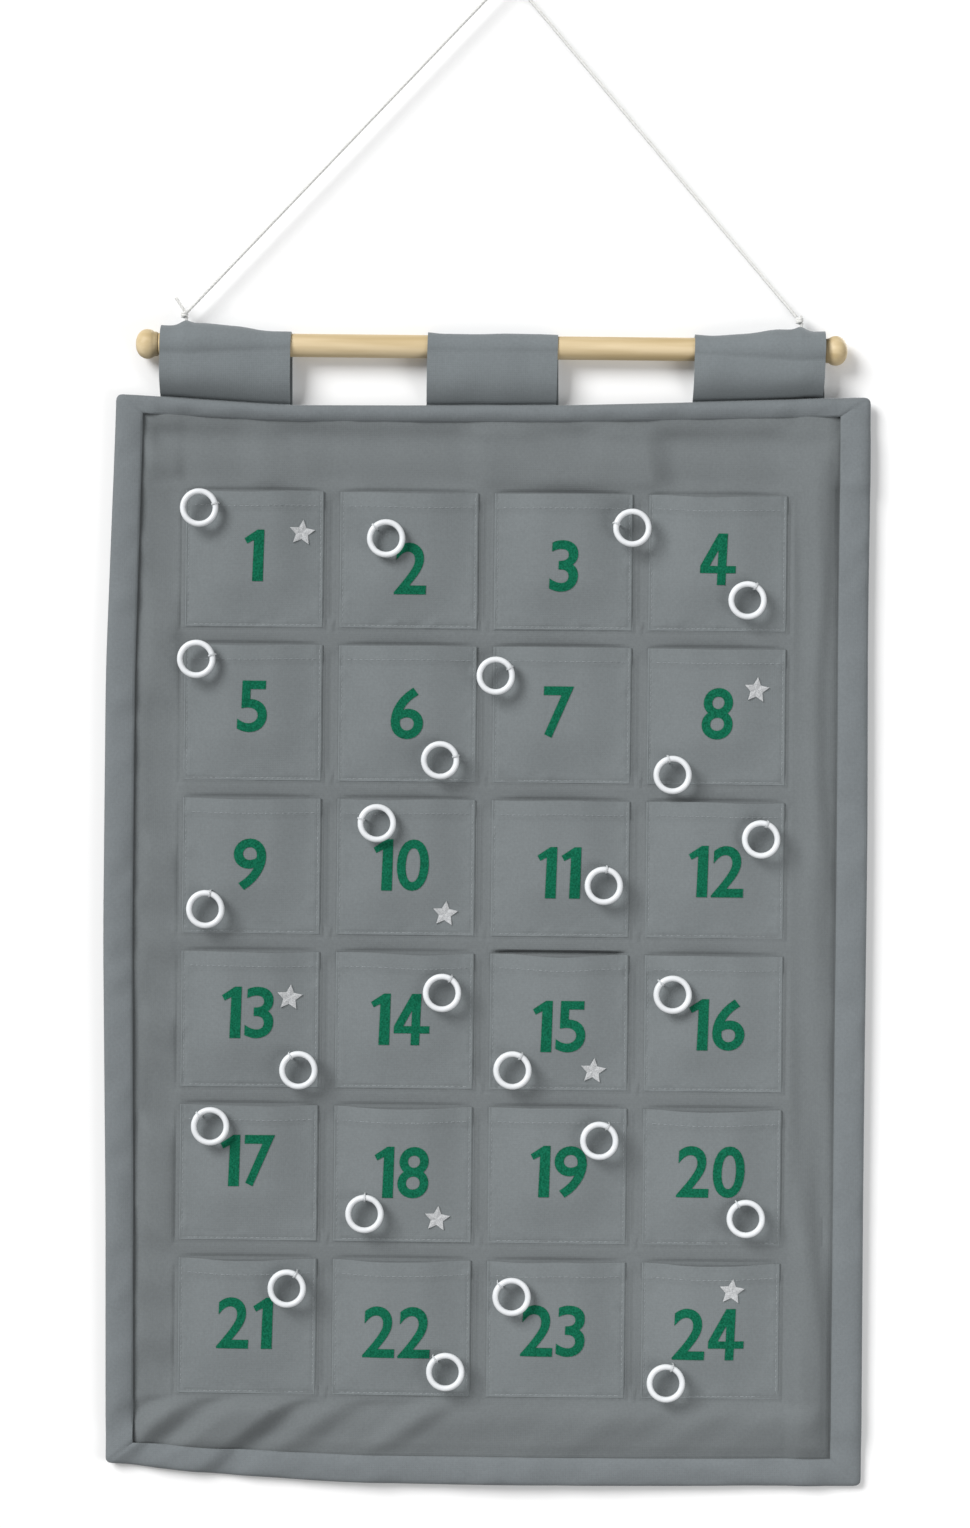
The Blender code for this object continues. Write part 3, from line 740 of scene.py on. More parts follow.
def cloth_y(x, z):
    """The panel's middle plane, as in the CAD."""
    down = np.maximum(0, (PANEL_TOP - z) / PANEL_HEIGHT)
    wave = (x - CENTRE_X) / FOLD_WIDTH + down * FOLD_LEAN_SHARE + FOLD_START_SHARE
    return PANEL_Y + FOLD_HEIGHT * down * np.sin(math.tau * wave)


def along_edge(shares, place):
    """The value of a table at a place, with its corners eased."""
    return sum(np.interp(place + shift, *zip(*shares)) for shift in EASE_SHIFTS) / len(EASE_SHIFTS)


def drawn(x, z):
    """Where the panel's edges are drawn to: the CAD's line and a little past it, less so inwards."""
    across = np.clip((x - PANEL_LEFT) / PANEL_WIDTH, 0, 1)
    down = np.clip((PANEL_TOP - z) / PANEL_HEIGHT, 0, 1)
    near_bottom = fade(z - PANEL_BOTTOM, BOTTOM_MARGIN)
    by_left = fade(x - PANEL_LEFT - BINDING_SIDE, SIDE_MARGIN - BINDING_SIDE)
    lift = fade(PANEL_TOP - z, TOP_MARGIN) * along_edge(TOP_EDGE_SHARES, across)
    lift = lift + near_bottom * along_edge(BOTTOM_EDGE_SHARES, across)
    out_left = EDGE_DRAW * fade(x - PANEL_LEFT, SIDE_MARGIN) * along_edge(LEFT_EDGE_SHARES, down)
    out_left = out_left + FURTHER_DRAW * by_left * along_edge(LEFT_DRAW_SHARES, down)
    out_right = FURTHER_DRAW * fade(PANEL_RIGHT - x, RIGHT_DRAW_REACH) * along_edge(RIGHT_DRAW_SHARES, down)
    drop = FURTHER_DRAW * near_bottom * along_edge(BOTTOM_DRAW_SHARES, across)
    return x - out_left + out_right, z + EDGE_DRAW * lift - drop


def beside_binding(x):
    """How far a place lies within the side bindings' inner edges."""
    return np.minimum(x - PANEL_LEFT, PANEL_RIGHT - x) - BINDING_SIDE


def inside_binding(x, z):
    """How far a place lies within the inner edge of the whole binding."""
    from_ends = np.minimum(PANEL_TOP - z - BINDING_TOP, z - PANEL_BOTTOM - BINDING_BOTTOM)
    return np.minimum(beside_binding(x), from_ends)


def margin_band(distance, flap, rise, margin):
    """1 over a margin between the binding's flap and the pockets, eased at both sides."""
    risen = smooth_step(distance, flap, flap * rise)
    return risen * (1 - smooth_step(distance, margin - HEM_HEIGHT, margin))


def wrinkles(x, z):
    """Folds and a valley below the top hem, folds and a ridge in the right margin, pulls in the left one,
    and creases and a belly at the bottom, over broad waves. All are weaker in the binding."""
    across = (x - PANEL_LEFT) / PANEL_WIDTH
    below_top, above_bottom = PANEL_TOP - z, z - PANEL_BOTTOM
    hem = margin_band(below_top, BINDING_TOP, HEM_RISE, TOP_MARGIN)
    right = margin_band(PANEL_RIGHT - x, BINDING_SIDE, SIDE_RISE, SIDE_MARGIN)
    left = margin_band(x - PANEL_LEFT, BINDING_SIDE, SIDE_RISE, SIDE_MARGIN)
    bottom = 1 - smooth_step(above_bottom, BOTTOM_MARGIN - HEM_HEIGHT, BOTTOM_MARGIN)
    margins = np.maximum(hem, np.maximum(right, bottom))
    broad = value_noise(x + z / BROAD_STRETCH, z / BROAD_STRETCH, BROAD_SIZE, BROAD_SEED)
    broad = BROAD_HEIGHT * broad * (QUIET_SHARE + margins)
    gathers = GATHER_HEIGHT * value_noise(x + z / GATHER_LEAN, z / GATHER_STRETCH, GATHER_SIZE, GATHER_SEED)
    gathers = gathers * np.maximum(hem * along_edge(GATHER_SHARES, across), RIGHT_SHARE * right)
    creases = CREASE_HEIGHT * value_noise(x + CREASE_LEAN * z, z / CREASE_STRETCH, CREASE_SIZE, CREASE_SEED)
    creases = creases * bottom * along_edge(CREASE_SHARES, across)
    pulls = PULL_HEIGHT * value_noise(x / PULL_STRETCH, z + PULL_LEAN * x, PULL_SIZE, PULL_SEED)
    pulls = pulls * left * (1 - bottom)
    ridge_x = PANEL_RIGHT - RIDGE_INSET + RIDGE_WANDER * value_noise(z, 0 * z, BROAD_SIZE, RIDGE_SEED)
    ridge = RIDGE_HEIGHT * bell(x - ridge_x, RIDGE_WIDTH) * smooth_step(below_top, BINDING_TOP, TOP_MARGIN)
    ridge = ridge * along_edge(RIDGE_SHARES, below_top / PANEL_HEIGHT)
    within = smooth_step(beside_binding(x), 0, HEM_HEIGHT)
    valley = VALLEY_DEPTH * bell(below_top - VALLEY_DROP, VALLEY_WIDTH) * within
    belly = BELLY_HEIGHT * bell(above_bottom - BELLY_RISE, BELLY_WIDTH) * within * bottom
    belly = belly * along_edge(SINK_SHARES, across)
    eased = blend(BINDING_EASE, 1, smooth_step(inside_binding(x, z), -HEM_HEIGHT / 2, HEM_HEIGHT))
    return (broad + gathers + creases + pulls + valley - ridge - belly) * eased


def binding_dip(x, z):
    """How far the panel is drawn in under and beside the binding, less so and wider at the top."""
    lower = smooth_step(PANEL_TOP - z, BINDING_TOP, TOP_MARGIN)
    width = blend(TOP_DIP_WIDTH, BINDING_DIP_WIDTH, lower)
    return blend(TOP_DIP, BINDING_DIP, lower) * bell(np.maximum(inside_binding(x, z), 0), width)


def sunk(x, z):
    """How far the bottom edge hangs back towards the wall."""
    above = np.maximum(z - PANEL_BOTTOM - BINDING_BOTTOM, 0)
    return SINK_DEPTH * bell(above, SINK_WIDTH) * along_edge(SINK_SHARES, (x - PANEL_LEFT) / PANEL_WIDTH)


def seam_dip(x, z):
    """How far the panel is drawn in beside the pockets' sewn edges, between columns and behind mouths."""
    deepest = 0 * x
    first_x, last_x = pocket_place(1)[0], pocket_place(COLUMNS)[0] + POCKET_WIDTH
    for number in NUMBERS:
        left, bottom = pocket_place(number)
        right, top = left + POCKET_WIDTH, bottom + POCKET_HEIGHT
        beside = np.maximum(left - x, x - right)
        outside = np.maximum(beside, bottom - z)
        below_mouth = smooth_step(top - z, 0, HEM_HEIGHT)
        at_side = smooth_step(beside - bottom + z, -SEAM_REACH, SEAM_REACH)
        sewn = blend(BOTTOM_DIP, SEAM_DIP, at_side) * bell(outside - SEAM_OFFSET, SEAM_WIDTH) * below_mouth
        in_grid = (x > first_x) & (x < last_x)
        along = below_mouth * smooth_step(z - bottom, 0, HEM_HEIGHT)
        gap = GAP_DIP * bell(beside - COLUMN_GAP / 2, GAP_WIDTH) * along * in_grid
        mouth = bell(z - top - SEAM_OFFSET / 2, SEAM_WIDTH) * smooth_step(-beside, 0, HEM_HEIGHT)
        mouth = mouth * (GAPING_DIP if number == GAPING_POCKET else MOUTH_DIP)
        deepest = np.maximum.reduce([deepest, sewn, gap, mouth])
    return deepest


def panel_lines(start, end, edges):
    """Places across the panel that stand closer together beside the pockets' edges."""
    near = [lines(edge - SEAM_REACH, edge + SEAM_REACH, SEAM_STEP) for edge in edges]
    values = np.unique(np.concatenate([lines(start, end, PANEL_STEP), *near]))
    apart = np.diff(values) > SEAM_STEP / 2
    return values[np.concatenate([[True], apart])]


def make_panel(looks):
    places = np.array([pocket_place(number) for number in NUMBERS])
    lefts, bottoms = np.unique(places[:, 0]), np.unique(places[:, 1])
    half = PANEL_WIDTH / 2 - PANEL_INSET
    columns = panel_lines(CENTRE_X - half, CENTRE_X + half, [*lefts, *(lefts + POCKET_WIDTH)])
    sewn_rows = [*bottoms, *(bottoms + POCKET_HEIGHT)]
    rows = panel_lines(PANEL_BOTTOM + PANEL_INSET, PANEL_TOP - PANEL_INSET, sewn_rows)
    x, z = drawn(*np.meshgrid(columns, rows))
    y = cloth_y(x, z) + wrinkles(x, z) + binding_dip(x, z) + sunk(x, z) + seam_dip(x, z)
    y = y - PANEL_THICKNESS / 2
    y = np.minimum(y, WALL_Y - WALL_GAP - PANEL_THICKNESS)
    faces = [np.stack([x, y + depth, z], -1) for depth in (0, PANEL_THICKNESS)]
    obj = slab("panel_cloth", *faces, looks["panel"])
    return settle(obj, "panel", "cloth")


def rounded(x, z, half_width, half_height, radius):
    """Pulls the points of a rectangle's outline onto a rectangle with round corners."""
    if radius <= 0:
        return x, z
    u, v = np.abs(x) - (half_width - radius), np.abs(z) - (half_height - radius)
    inside = (u > 0) & (v > 0)
    pull = np.where(inside, radius / np.maximum(np.hypot(u, v), radius), 1)
    new_x = np.where(inside, np.sign(x) * (half_width - radius + u * pull), x)
    new_z = np.where(inside, np.sign(z) * (half_height - radius + v * pull), z)
    return new_x, new_z


def binding_loop(share, depth):
    """One line of the binding's section all round the panel. A front flap may roll back to its seam."""
    left, right = PANEL_LEFT + BINDING_SIDE * share, PANEL_RIGHT - BINDING_SIDE * share
    top, bottom = PANEL_TOP - BINDING_TOP * share, PANEL_BOTTOM + BINDING_BOTTOM * share
    corners = np.array([(left, top), (right, top), (right, bottom), (left, bottom)])
    places, mitres, rolls = [], [], []
    in_front = depth < 0 and share > ROLL_START_SHARE
    for number, (here, there) in enumerate(zip(corners, np.roll(corners, -1, 0))):
        count = int((PANEL_HEIGHT if number % 2 else PANEL_WIDTH) / BINDING_STEP)
        steps = np.arange(count)
        places.append(here + (there - here) * (steps / count)[:, None])
        mitres.append(np.where(steps, 0, MITRE_DEPTH))
        from_corner = np.minimum(steps, count - steps) * BINDING_STEP
        rolls.append(in_front * FLAP_ROLLS[number] * smooth_step(from_corner, 0, BINDING_SIDE))
    x, z = np.concatenate(places).T
    middle_x, middle_z = (left + right) / 2, (top + bottom) / 2
    halves = (right - left) / 2, (top - bottom) / 2
    x, z = rounded(x - middle_x, z - middle_z, *halves, CORNER_RADIUS * max(0, 1 - share / CORNER_SHARE))
    x, z = drawn(x + middle_x, z + middle_z)
    wave = value_noise(x, z, BINDING_WAVE_SIZE, BINDING_SEED) * abs(depth)
    wave = wave * min(1, BINDING_WAVE_RISE * share)
    middle_y = cloth_y(x, z) + wrinkles(x, z) + sunk(x, z)
    furthest = max(line[1] for line in BINDING_SECTION_SHARES)
    middle_y = np.minimum(middle_y, WALL_Y - WALL_GAP - BINDING_DEPTH * furthest)
    rolled = ((share - ROLL_START_SHARE) / (1 - ROLL_START_SHARE)) ** 2 * np.concatenate(rolls)
    y = middle_y + BINDING_DEPTH * depth + rolled
    y = y + BINDING_WAVE_HEIGHT * wave + np.concatenate(mitres) * (depth < BINDING_SECTION_SHARES[0][1])
    return np.stack([x, y, z], -1)


def make_binding(looks):
    """The folded strip: its section runs from one flap's inner edge over the outer fold to the other's."""
    loops = np.array([binding_loop(share, depth) for share, depth in BINDING_SECTION_SHARES])
    obj = join_tubes("binding_cloth", [loops.transpose(1, 0, 2)], looks["binding"], FOLDED_DEGREES, True)
    return settle(obj, "edge_binding", "cloth")


# The pockets


@functools.lru_cache(maxsize=None)
def pocket_place(number):
    """Left and bottom of a pocket, as the CAD has them."""
    low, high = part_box(f"pocket_{number:02d}")
    return (low[0] + high[0]) / 2 - POCKET_WIDTH / 2, low[2]


def pocket_front(number, x, z):
    """The pocket's shown face: a sewn rim at the sides and bottom, and cloth that stands off within it."""
    left, bottom = pocket_place(number)
    u, v = x - left, z - bottom
    beside = np.minimum(u, POCKET_WIDTH - u) - POCKET_INSET
    rim = np.clip(np.minimum(beside, v), 0, None)
    full = smooth_step(beside, STITCH_INSET, POCKET_RAMP) * smooth_step(v, STITCH_INSET, POCKET_RAMP)
    depth = blend(POCKET_DEPTH, POCKET_MOUTH_DEPTH, np.clip(v / POCKET_HEIGHT, 0, 1))
    own = value_noise(x + z / POCKET_LEAN, z, POCKET_UNEVEN_SIZE, POCKET_SEED + number)
    own = own * POCKET_UNEVEN_HEIGHT * full
    pucker = value_noise(x + z, z - x, PUCKER_SIZE, PUCKER_SEED + number) * PUCKER_HEIGHT
    pucker = pucker * smooth_step(rim, 0, STITCH_INSET) * (1 - smooth_step(rim, STITCH_INSET, PUCKER_REACH))
    hem_line = POCKET_HEIGHT - HEM_HEIGHT
    hem = HEM_STEP * smooth_step(v, hem_line - GROOVE_WIDTH, hem_line)
    rolled = EDGE_ROLL * (1 - np.sqrt(1 - (1 - np.clip(rim / EDGE_ROLL, 0, 1)) ** 2))
    groove = GROOVE_DEPTH * bell(rim - STITCH_INSET, GROOVE_WIDTH)
    lift = blend(POCKET_FOOT_LIFT, POCKET_EDGE_LIFT, smooth_step(v, 0, HEM_HEIGHT))
    raised = lift + (depth - POCKET_CAD_LIFT) * full + hem + own + pucker - rolled - groove
    return cloth_y(x, z) - PANEL_THICKNESS / 2 + POCKET_BEHIND_CAD - raised


def mouth_sag(number, x):
    """How far the mouth's edge hangs down: a little on every pocket, more where it gapes."""
    left, _ = pocket_place(number)
    share = np.clip((x - left) / POCKET_WIDTH, 0, 1)
    wave = MOUTH_WAVE * value_noise(x, 0 * x, MOUTH_WAVE_SIZE, MOUTH_SEED + number)
    sag = MOUTH_SAG * np.sin(math.pi * share)
    if number == GAPING_POCKET:
        opened = smooth_step(share, GAPING_START_SHARE, GAPING_END_SHARE)
        sag = GAPING_SAG * np.sin(math.pi * opened)
    return sag + wave * np.sin(math.pi * share)


def make_pocket(number, looks):
    left, bottom = pocket_place(number)
    shown_width = POCKET_WIDTH - 2 * POCKET_INSET
    columns = POCKET_INSET + finer_at_ends(shown_width, POCKET_STEP, RIM_WIDTH, RIM_STEP)
    rows = finer_at_ends(POCKET_HEIGHT, POCKET_STEP, RIM_WIDTH, RIM_STEP)
    u, v = np.meshgrid(columns, rows)
    x = left + u
    flat_z = bottom + v
    y = pocket_front(number, x, flat_z)
    z = flat_z - mouth_sag(number, x) * smooth_step(v, SAG_START_SHARE * POCKET_HEIGHT, POCKET_HEIGHT)
    faces = [np.stack([x, y + depth, z], -1) for depth in (0, POCKET_THICKNESS)]
    obj = slab(f"pocket_cloth_{number:02d}", *faces, looks["pocket"])
    return settle(obj, f"pocket_{number:02d}", "cloth")


def stitch_line(start, end, y_of):
    """Tubes of short threads in a row between two places, each dipping into the cloth at its ends."""
    start, end = np.array(start), np.array(end)
    length = np.linalg.norm(end - start)
    way = (end - start) / length
    along = np.arange(1, int(length / STITCH_PITCH))[:, None] * STITCH_PITCH + STITCH_LENGTH * STITCH_SHARES
    x, z = start[0] + way[0] * along, start[1] + way[1] * along
    lift = np.array([-STITCH_SINK, 0, STITCH_LIFT, 0, -STITCH_SINK])
    centres = np.stack([x, y_of(x, z) - lift, z], -1)
    aside = np.array([-way[1], 0, way[0]])
    section = STITCH_DIAMETER / 2 * circling(full_turn(STITCH_SIDES), aside, FORWARD)
    return list(centres[:, :, None] + section)


def make_pocket_stitches(number, looks):
    left, bottom = pocket_place(number)
    right, top = left + POCKET_WIDTH, bottom + POCKET_HEIGHT
    y_of = functools.partial(pocket_front, number)
    left, right = left + POCKET_INSET + STITCH_INSET, right - POCKET_INSET - STITCH_INSET
    corners = [(left, top - STITCH_INSET), (left, bottom + STITCH_INSET)]
    corners += [(right, bottom + STITCH_INSET), (right, top - STITCH_INSET)]
    made = []
    for here, there in zip(corners, corners[1:]):
        made += stitch_line(here, there, y_of)
    hem = stitch_line((left, top - HEM_STITCH_DROP), (right, top - HEM_STITCH_DROP), y_of)
    for tube in hem:
        tube[:, :, 2] -= mouth_sag(number, tube[:, :, 0]) * HEM_SAG_SHARE
    obj = join_tubes(f"pocket_stitches_{number:02d}", made + hem, looks["stitch"])
    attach(obj, "cloth")
    return obj


# The tabs


def tab_line(radius, front, back, meet, last):
    """The tab's middle line in section, from its front leg's end over the rod and down the back leg."""

    def touch(y, turn):
        reach = math.hypot(y, meet)
        return math.atan2(meet, y) + turn * math.acos(radius / reach)

    turns = np.linspace(touch(front, -1), touch(back, 1) - math.tau, ARC_STEPS)
    arc = np.stack([radius * np.cos(turns), radius * np.sin(turns)], -1)
    legs = []
    for y, bend, curl in ((front, arc[0], TAB_CURL), (back, arc[-1], 1)):
        tongue = np.linspace((y, last), (y, meet), TONGUE_STEPS)[:-1]
        leg = np.linspace((y, meet), bend, LEG_STEPS)[:-1]
        leg[:, 0] = bend[0] + (y - bend[0]) * np.linspace(1, 0, LEG_STEPS)[:-1] ** curl
        legs.append(np.concatenate([tongue, leg]))
    return np.concatenate([legs[0], arc, legs[1][::-1]])


def swell_at(x, side):
    """How far an outer tab stands off the rod: not at its inner edge, and most over the cord's loop."""
    if not side:
        return 0
    outward = side * (x - CENTRE_X)
    places = TAB_SPREAD - TAB_WIDTH / 2, CORD_SPREAD, TAB_SPREAD + TAB_WIDTH / 2
    return float(np.interp(outward, places, (0, TAB_SWELL, TAB_SWELL * OUTER_SWELL_SHARE)))


def make_tab(name, node, side, looks):
    """A tab over the rod. An outer one swells over the cord's loop and lies flat at the back beside it."""
    middle = CENTRE_X + side * TAB_SPREAD
    loop_x = CENTRE_X + side * CORD_SPREAD
    columns = lines(middle - TAB_WIDTH / 2, middle + TAB_WIDTH / 2, TAB_STEP)
    back = TAB_FRONT_Y + TAB_THICKNESS + TAB_LAYER_GAP
    flat = ROD_DIAMETER / 2 + CLEARANCE + TAB_THICKNESS / 2
    _, edge_z = drawn(columns, np.full(len(columns), PANEL_TOP))
    sections = []
    for x, top in zip(columns, edge_z):
        inside = ROD_DIAMETER / 2 + CLEARANCE + swell_at(x, side)
        meet = top - ROD_Z + TAB_FOOT_GAP
        line = tab_line(inside + TAB_THICKNESS / 2, TAB_FRONT_Y, back, meet, -PANEL_DROP - TAB_OVERLAP)
        if side:
            over_loop = bell(x - loop_x, TAB_PEAK_WIDTH)
            on_top = bell(line[:, 0], ROD_DIAMETER / 2) * (line[:, 1] > 0)
            line[:, 1] += TAB_PEAK * over_loop * on_top
            line[:, 0] = np.minimum(line[:, 0], flat + TAB_BACK_BULGE * over_loop)
        sections.append(line)
    sections = np.array(sections)
    along = np.gradient(sections, axis=1)
    along /= np.linalg.norm(along, axis=2)[:, :, None]
    normal = np.stack([-along[:, :, 1], along[:, :, 0]], -1)
    steps = np.linspace(-1, 1, sections.shape[1])
    x = np.broadcast_to(columns[:, None], sections.shape[:2])
    travel = np.broadcast_to(steps * TAB_WIDTH / 2, sections.shape[:2])
    wave = TAB_UNEVEN_HEIGHT * value_noise(x, travel, TAB_UNEVEN_SIZE, TAB_SEED + side)
    wave = wave * smooth_step(1 - np.abs(steps), 0, TAB_FOOT_SHARE)
    wave = wave * (1 - smooth_step(sections[:, :, 0], flat - TAB_BACK_EASE, flat))
    grids = []
    for offset in (TAB_THICKNESS / 2, -TAB_THICKNESS / 2):
        moved = sections + normal * (offset + wave)[:, :, None]
        skewed = x + TAB_SKEW * (steps + 1) / 2
        grids.append(np.stack([skewed, moved[:, :, 0], ROD_Z + moved[:, :, 1]], -1))
    obj = slab(name, *grids, looks["tab"])
    settle(obj, node, "cloth")
    length = float(np.linalg.norm(np.diff(sections.mean(0), axis=0), axis=1).sum())
    return obj, length


# Numbers, stars and rings


def onto_pocket(obj, number, ridge=None):
    """Cuts a flat shape into small cells and lays it on the pocket's face, raised evenly or to a ridge."""
    shape = bmesh.new()
    shape.from_mesh(obj.data)
    bmesh.ops.remove_doubles(shape, verts=shape.verts, dist=MERGE_DISTANCE)
    for axis, normal in ((0, Vector((1, 0, 0))), (2, Vector((0, 0, 1)))):
        values = [vertex.co[axis] for vertex in shape.verts]
        for at in np.arange(min(values) + DIGIT_STEP, max(values), DIGIT_STEP):
            geometry = shape.verts[:] + shape.edges[:] + shape.faces[:]
            bmesh.ops.bisect_plane(shape, geom=geometry, plane_co=normal * float(at), plane_no=normal)
    bmesh.ops.triangulate(shape, faces=shape.faces)
    places = np.array([vertex.co for vertex in shape.verts])
    depths = pocket_front(number, places[:, 0], places[:, 2]) - DIGIT_RAISE
    if ridge:
        depths = depths - ridge(places[:, 0], places[:, 2])
    for vertex, depth in zip(shape.verts, depths):
        vertex.co.y = float(depth)
    bmesh.ops.recalc_face_normals(shape, faces=shape.faces)
    if sum(face.normal.y for face in shape.faces) > 0:
        bmesh.ops.reverse_faces(shape, faces=shape.faces)
    made = bmesh.ops.extrude_face_region(shape, geom=shape.faces[:])
    for vertex in made["geom"]:
        if isinstance(vertex, bmesh.types.BMVert):
            places = np.array([vertex.co.x]), np.array([vertex.co.z])
            vertex.co.y = float(pocket_front(number, *places)[0]) + DIGIT_SINK
    bmesh.ops.recalc_face_normals(shape, faces=shape.faces)
    shape.to_mesh(obj.data)
    shape.free()


def typed_outline(digit):
    """Points and faces of a digit from Blender's own typeface, flat, in shares of its width and height."""
    curve = bpy.data.curves.new("digit", "FONT")
    curve.body = digit
    curve.resolution_u = OUTLINE_STEPS
    curve.offset = DIGIT_FATTEN_SHARE
    typed = linked("digit", curve)
    bpy.context.view_layer.update()
    mesh = bpy.data.meshes.new_from_object(typed.evaluated_get(bpy.context.evaluated_depsgraph_get()))
    points = np.array([vertex.co for vertex in mesh.vertices])[:, :2]
    faces = [list(polygon.vertices) for polygon in mesh.polygons]
    bpy.data.objects.remove(typed)
    bpy.data.curves.remove(curve)
    bpy.data.meshes.remove(mesh)
    return (points - points.min(0)) / (points.max(0) - points.min(0)), faces


def digit_outlines():
    outlines = {digit: typed_outline(digit) for digit in TYPED_DIGITS}
    outlines["1"] = ONE_OUTLINE_SHARES, [range(len(ONE_OUTLINE_SHARES))]
    outlines["4"] = FOUR_OUTLINE_SHARES, FOUR_FACES
    return outlines


def make_number(number, outlines, looks):
    """The digits of a number as a thin green shape on its pocket."""
    widths = [DIGIT_WIDTH_SHARES[digit] * DIGIT_HEIGHT for digit in str(number)]
    gap = DIGIT_GAP_SHARE * DIGIT_HEIGHT
    left, bottom = pocket_place(number)
    across, up = NUMBER_CENTRE_SHARES[number - 1]
    x = left + across * POCKET_WIDTH - (sum(widths) + gap * (len(widths) - 1)) / 2
    points, faces = [], []
    for digit, width in zip(str(number), widths):
        outline, own_faces = outlines[digit]
        faces += [[index + len(points) for index in face] for face in own_faces]
        for share_x, share_z in outline:
            z = (share_z - DIGIT_MIDDLE_SHARE) * DIGIT_HEIGHT
            points.append((x + share_x * width + DIGIT_LEAN * z, 0, bottom + up * POCKET_HEIGHT + z))
        x += width + gap
    obj = flat_object(f"number_{number:02d}", points, faces, looks["green"])
    onto_pocket(obj, number)
    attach(obj, "cloth")
    return obj


def make_star(number, looks):
    left, bottom = pocket_place(number)
    across, up = STAR_CENTRE_SHARES[number]
    points, faces = [(left + across * POCKET_WIDTH, 0, bottom + up * POCKET_HEIGHT)], []
    count = 2 * STAR_POINTS
    for i in range(count):
        reach = STAR_SIZE / 2 * (STAR_INNER_SHARE if i % 2 else 1)
        turn = math.tau * i / count + STAR_TURN
        points.append((points[0][0] + reach * math.sin(turn), 0, points[0][2] + reach * math.cos(turn)))
        faces.append((0, i + 1, (i + 1) % count + 1))
    obj = flat_object(f"star_{number:02d}", points, faces, looks["star"])

    def ridge(x, z):
        turn = np.arctan2(x - points[0][0], z - points[0][2]) - STAR_TURN
        arm = turn * STAR_POINTS / math.tau
        from_arm = 2 * np.abs(arm - np.round(arm))
        out = np.hypot(x - points[0][0], z - points[0][2]) / STAR_SIZE * 2
        return STAR_RIDGE * (1 - from_arm) * smooth_step(out, 0, STAR_DIMPLE_SHARE)

    onto_pocket(obj, number, ridge)
    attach(obj, "cloth")
    return obj


@functools.lru_cache(maxsize=None)
def ring_centre(number):
    low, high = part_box(f"ring_{number:02d}")
    return (np.array(low) + np.array(high)) / 2


def make_ring(number, looks):
    turns = full_turn(RING_STEPS)
    radius = (RING_DIAMETER - RING_SECTION) / 2
    path = ring_centre(number) + radius * np.stack([np.cos(turns), 0 * turns, np.sin(turns)], -1)
    rings = round_rings(path, RING_SECTION / 2, RING_SIDES, True)
    obj = join_tubes(f"plastic_ring_{number:02d}", [rings], looks["plastic"], ROUND_DEGREES, True)
    return settle(obj, f"ring_{number:02d}", f"ring_{number:02d}")


def make_thread(number, looks):
    """The tack that holds a ring: turns of thread over its tube into the pocket."""
    joint = next(joint for joint in frame["joints"] if joint["name"] == f"ring_{number:02d}_swing")
    pivot = np.array(joint["pos_m"])
    out = pivot - ring_centre(number)
    out[1] = 0
    out /= np.linalg.norm(out)
    aside = np.array([-out[2], 0, out[0]])
    reach = RING_SECTION / 2 + THREAD_GAP + THREAD_DIAMETER / 2
    turns = np.linspace(0, math.pi, THREAD_STEPS)
    tubes = []
    for shift in (-THREAD_SHIFT, 0, THREAD_SHIFT):
        arc = pivot + aside * shift + reach * circling(turns, out, FORWARD)
        feet = []
        for top in (arc[0], arc[-1]):
            depth = float(pocket_front(number, *top[[0, 2], None])[0]) + DIGIT_SINK
            feet.append((top[0], max(depth, top[1] + THREAD_GAP), top[2]))
        tubes.append(round_rings(np.array([feet[0], *arc, feet[1]]), THREAD_DIAMETER / 2, STRAND_SIDES))
    obj = join_tubes(f"ring_thread_{number:02d}", tubes, looks["tack"])
    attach(obj, "cloth")
    return obj


# The rod and the cord


def turned(name, profile, start, way, material):
    """A solid turned round the rod's axis: pairs of the distance from its start and the radius there."""
    turns = full_turn(TURNED_SIDES)
    rings = []
    for along, radius in profile:
        at = np.full(TURNED_SIDES, start + way * along)
        rings.append(np.stack([at, radius * np.cos(turns), ROD_Z + radius * np.sin(turns)], -1))
    return join_tubes(name, [np.array(rings)], material, EVEN_DEGREES)


def make_rod(looks):
    half = ROD_LENGTH / 2 - CLEARANCE
    radius = ROD_DIAMETER / 2 - SKIN
    tenon = TENON_DIAMETER / 2 - SKIN
    profile = [(-half - TENON_LENGTH, tenon), (-half, tenon), (-half, radius - ROD_ROUNDING)]
    profile.append((ROD_ROUNDING - half, radius))
    profile += [(-along, wide) for along, wide in reversed(profile)]
    obj = turned("wooden_rod", profile, CENTRE_X, 1, looks["rod"])
    return settle(obj, "rod", "hanger")


def make_knob(side_name, way, looks):
    """A rounded end with a neck, and a socket for the rod's tenon."""
    socket = TENON_DIAMETER / 2 + SKIN
    depth = TENON_LENGTH + SKIN
    neck = KNOB_NECK / 2
    profile = [(depth, TIP_RADIUS), (depth, socket), (0, socket), (0, neck)]
    profile.append((ROD_ROUNDING, neck + ROD_ROUNDING))
    for turn in np.linspace(KNOB_START_TURN, math.pi / 2, KNOB_STEPS):
        wide = KNOB_DIAMETER / 2 * max(0, math.cos(turn)) ** KNOB_SQUARENESS
        profile.append((KNOB_MIDDLE + KNOB_REACH * math.sin(turn), max(TIP_RADIUS, wide)))
    obj = turned("turned_knob_" + side_name, profile, CENTRE_X + way * ROD_LENGTH / 2, way, looks["knob"])
    return settle(obj, "end_knob_" + side_name, "hanger")


def knot_centre(side):
    return np.array([CENTRE_X + side * CORD_SPREAD, 0, ROD_Z + KNOT_RISE])


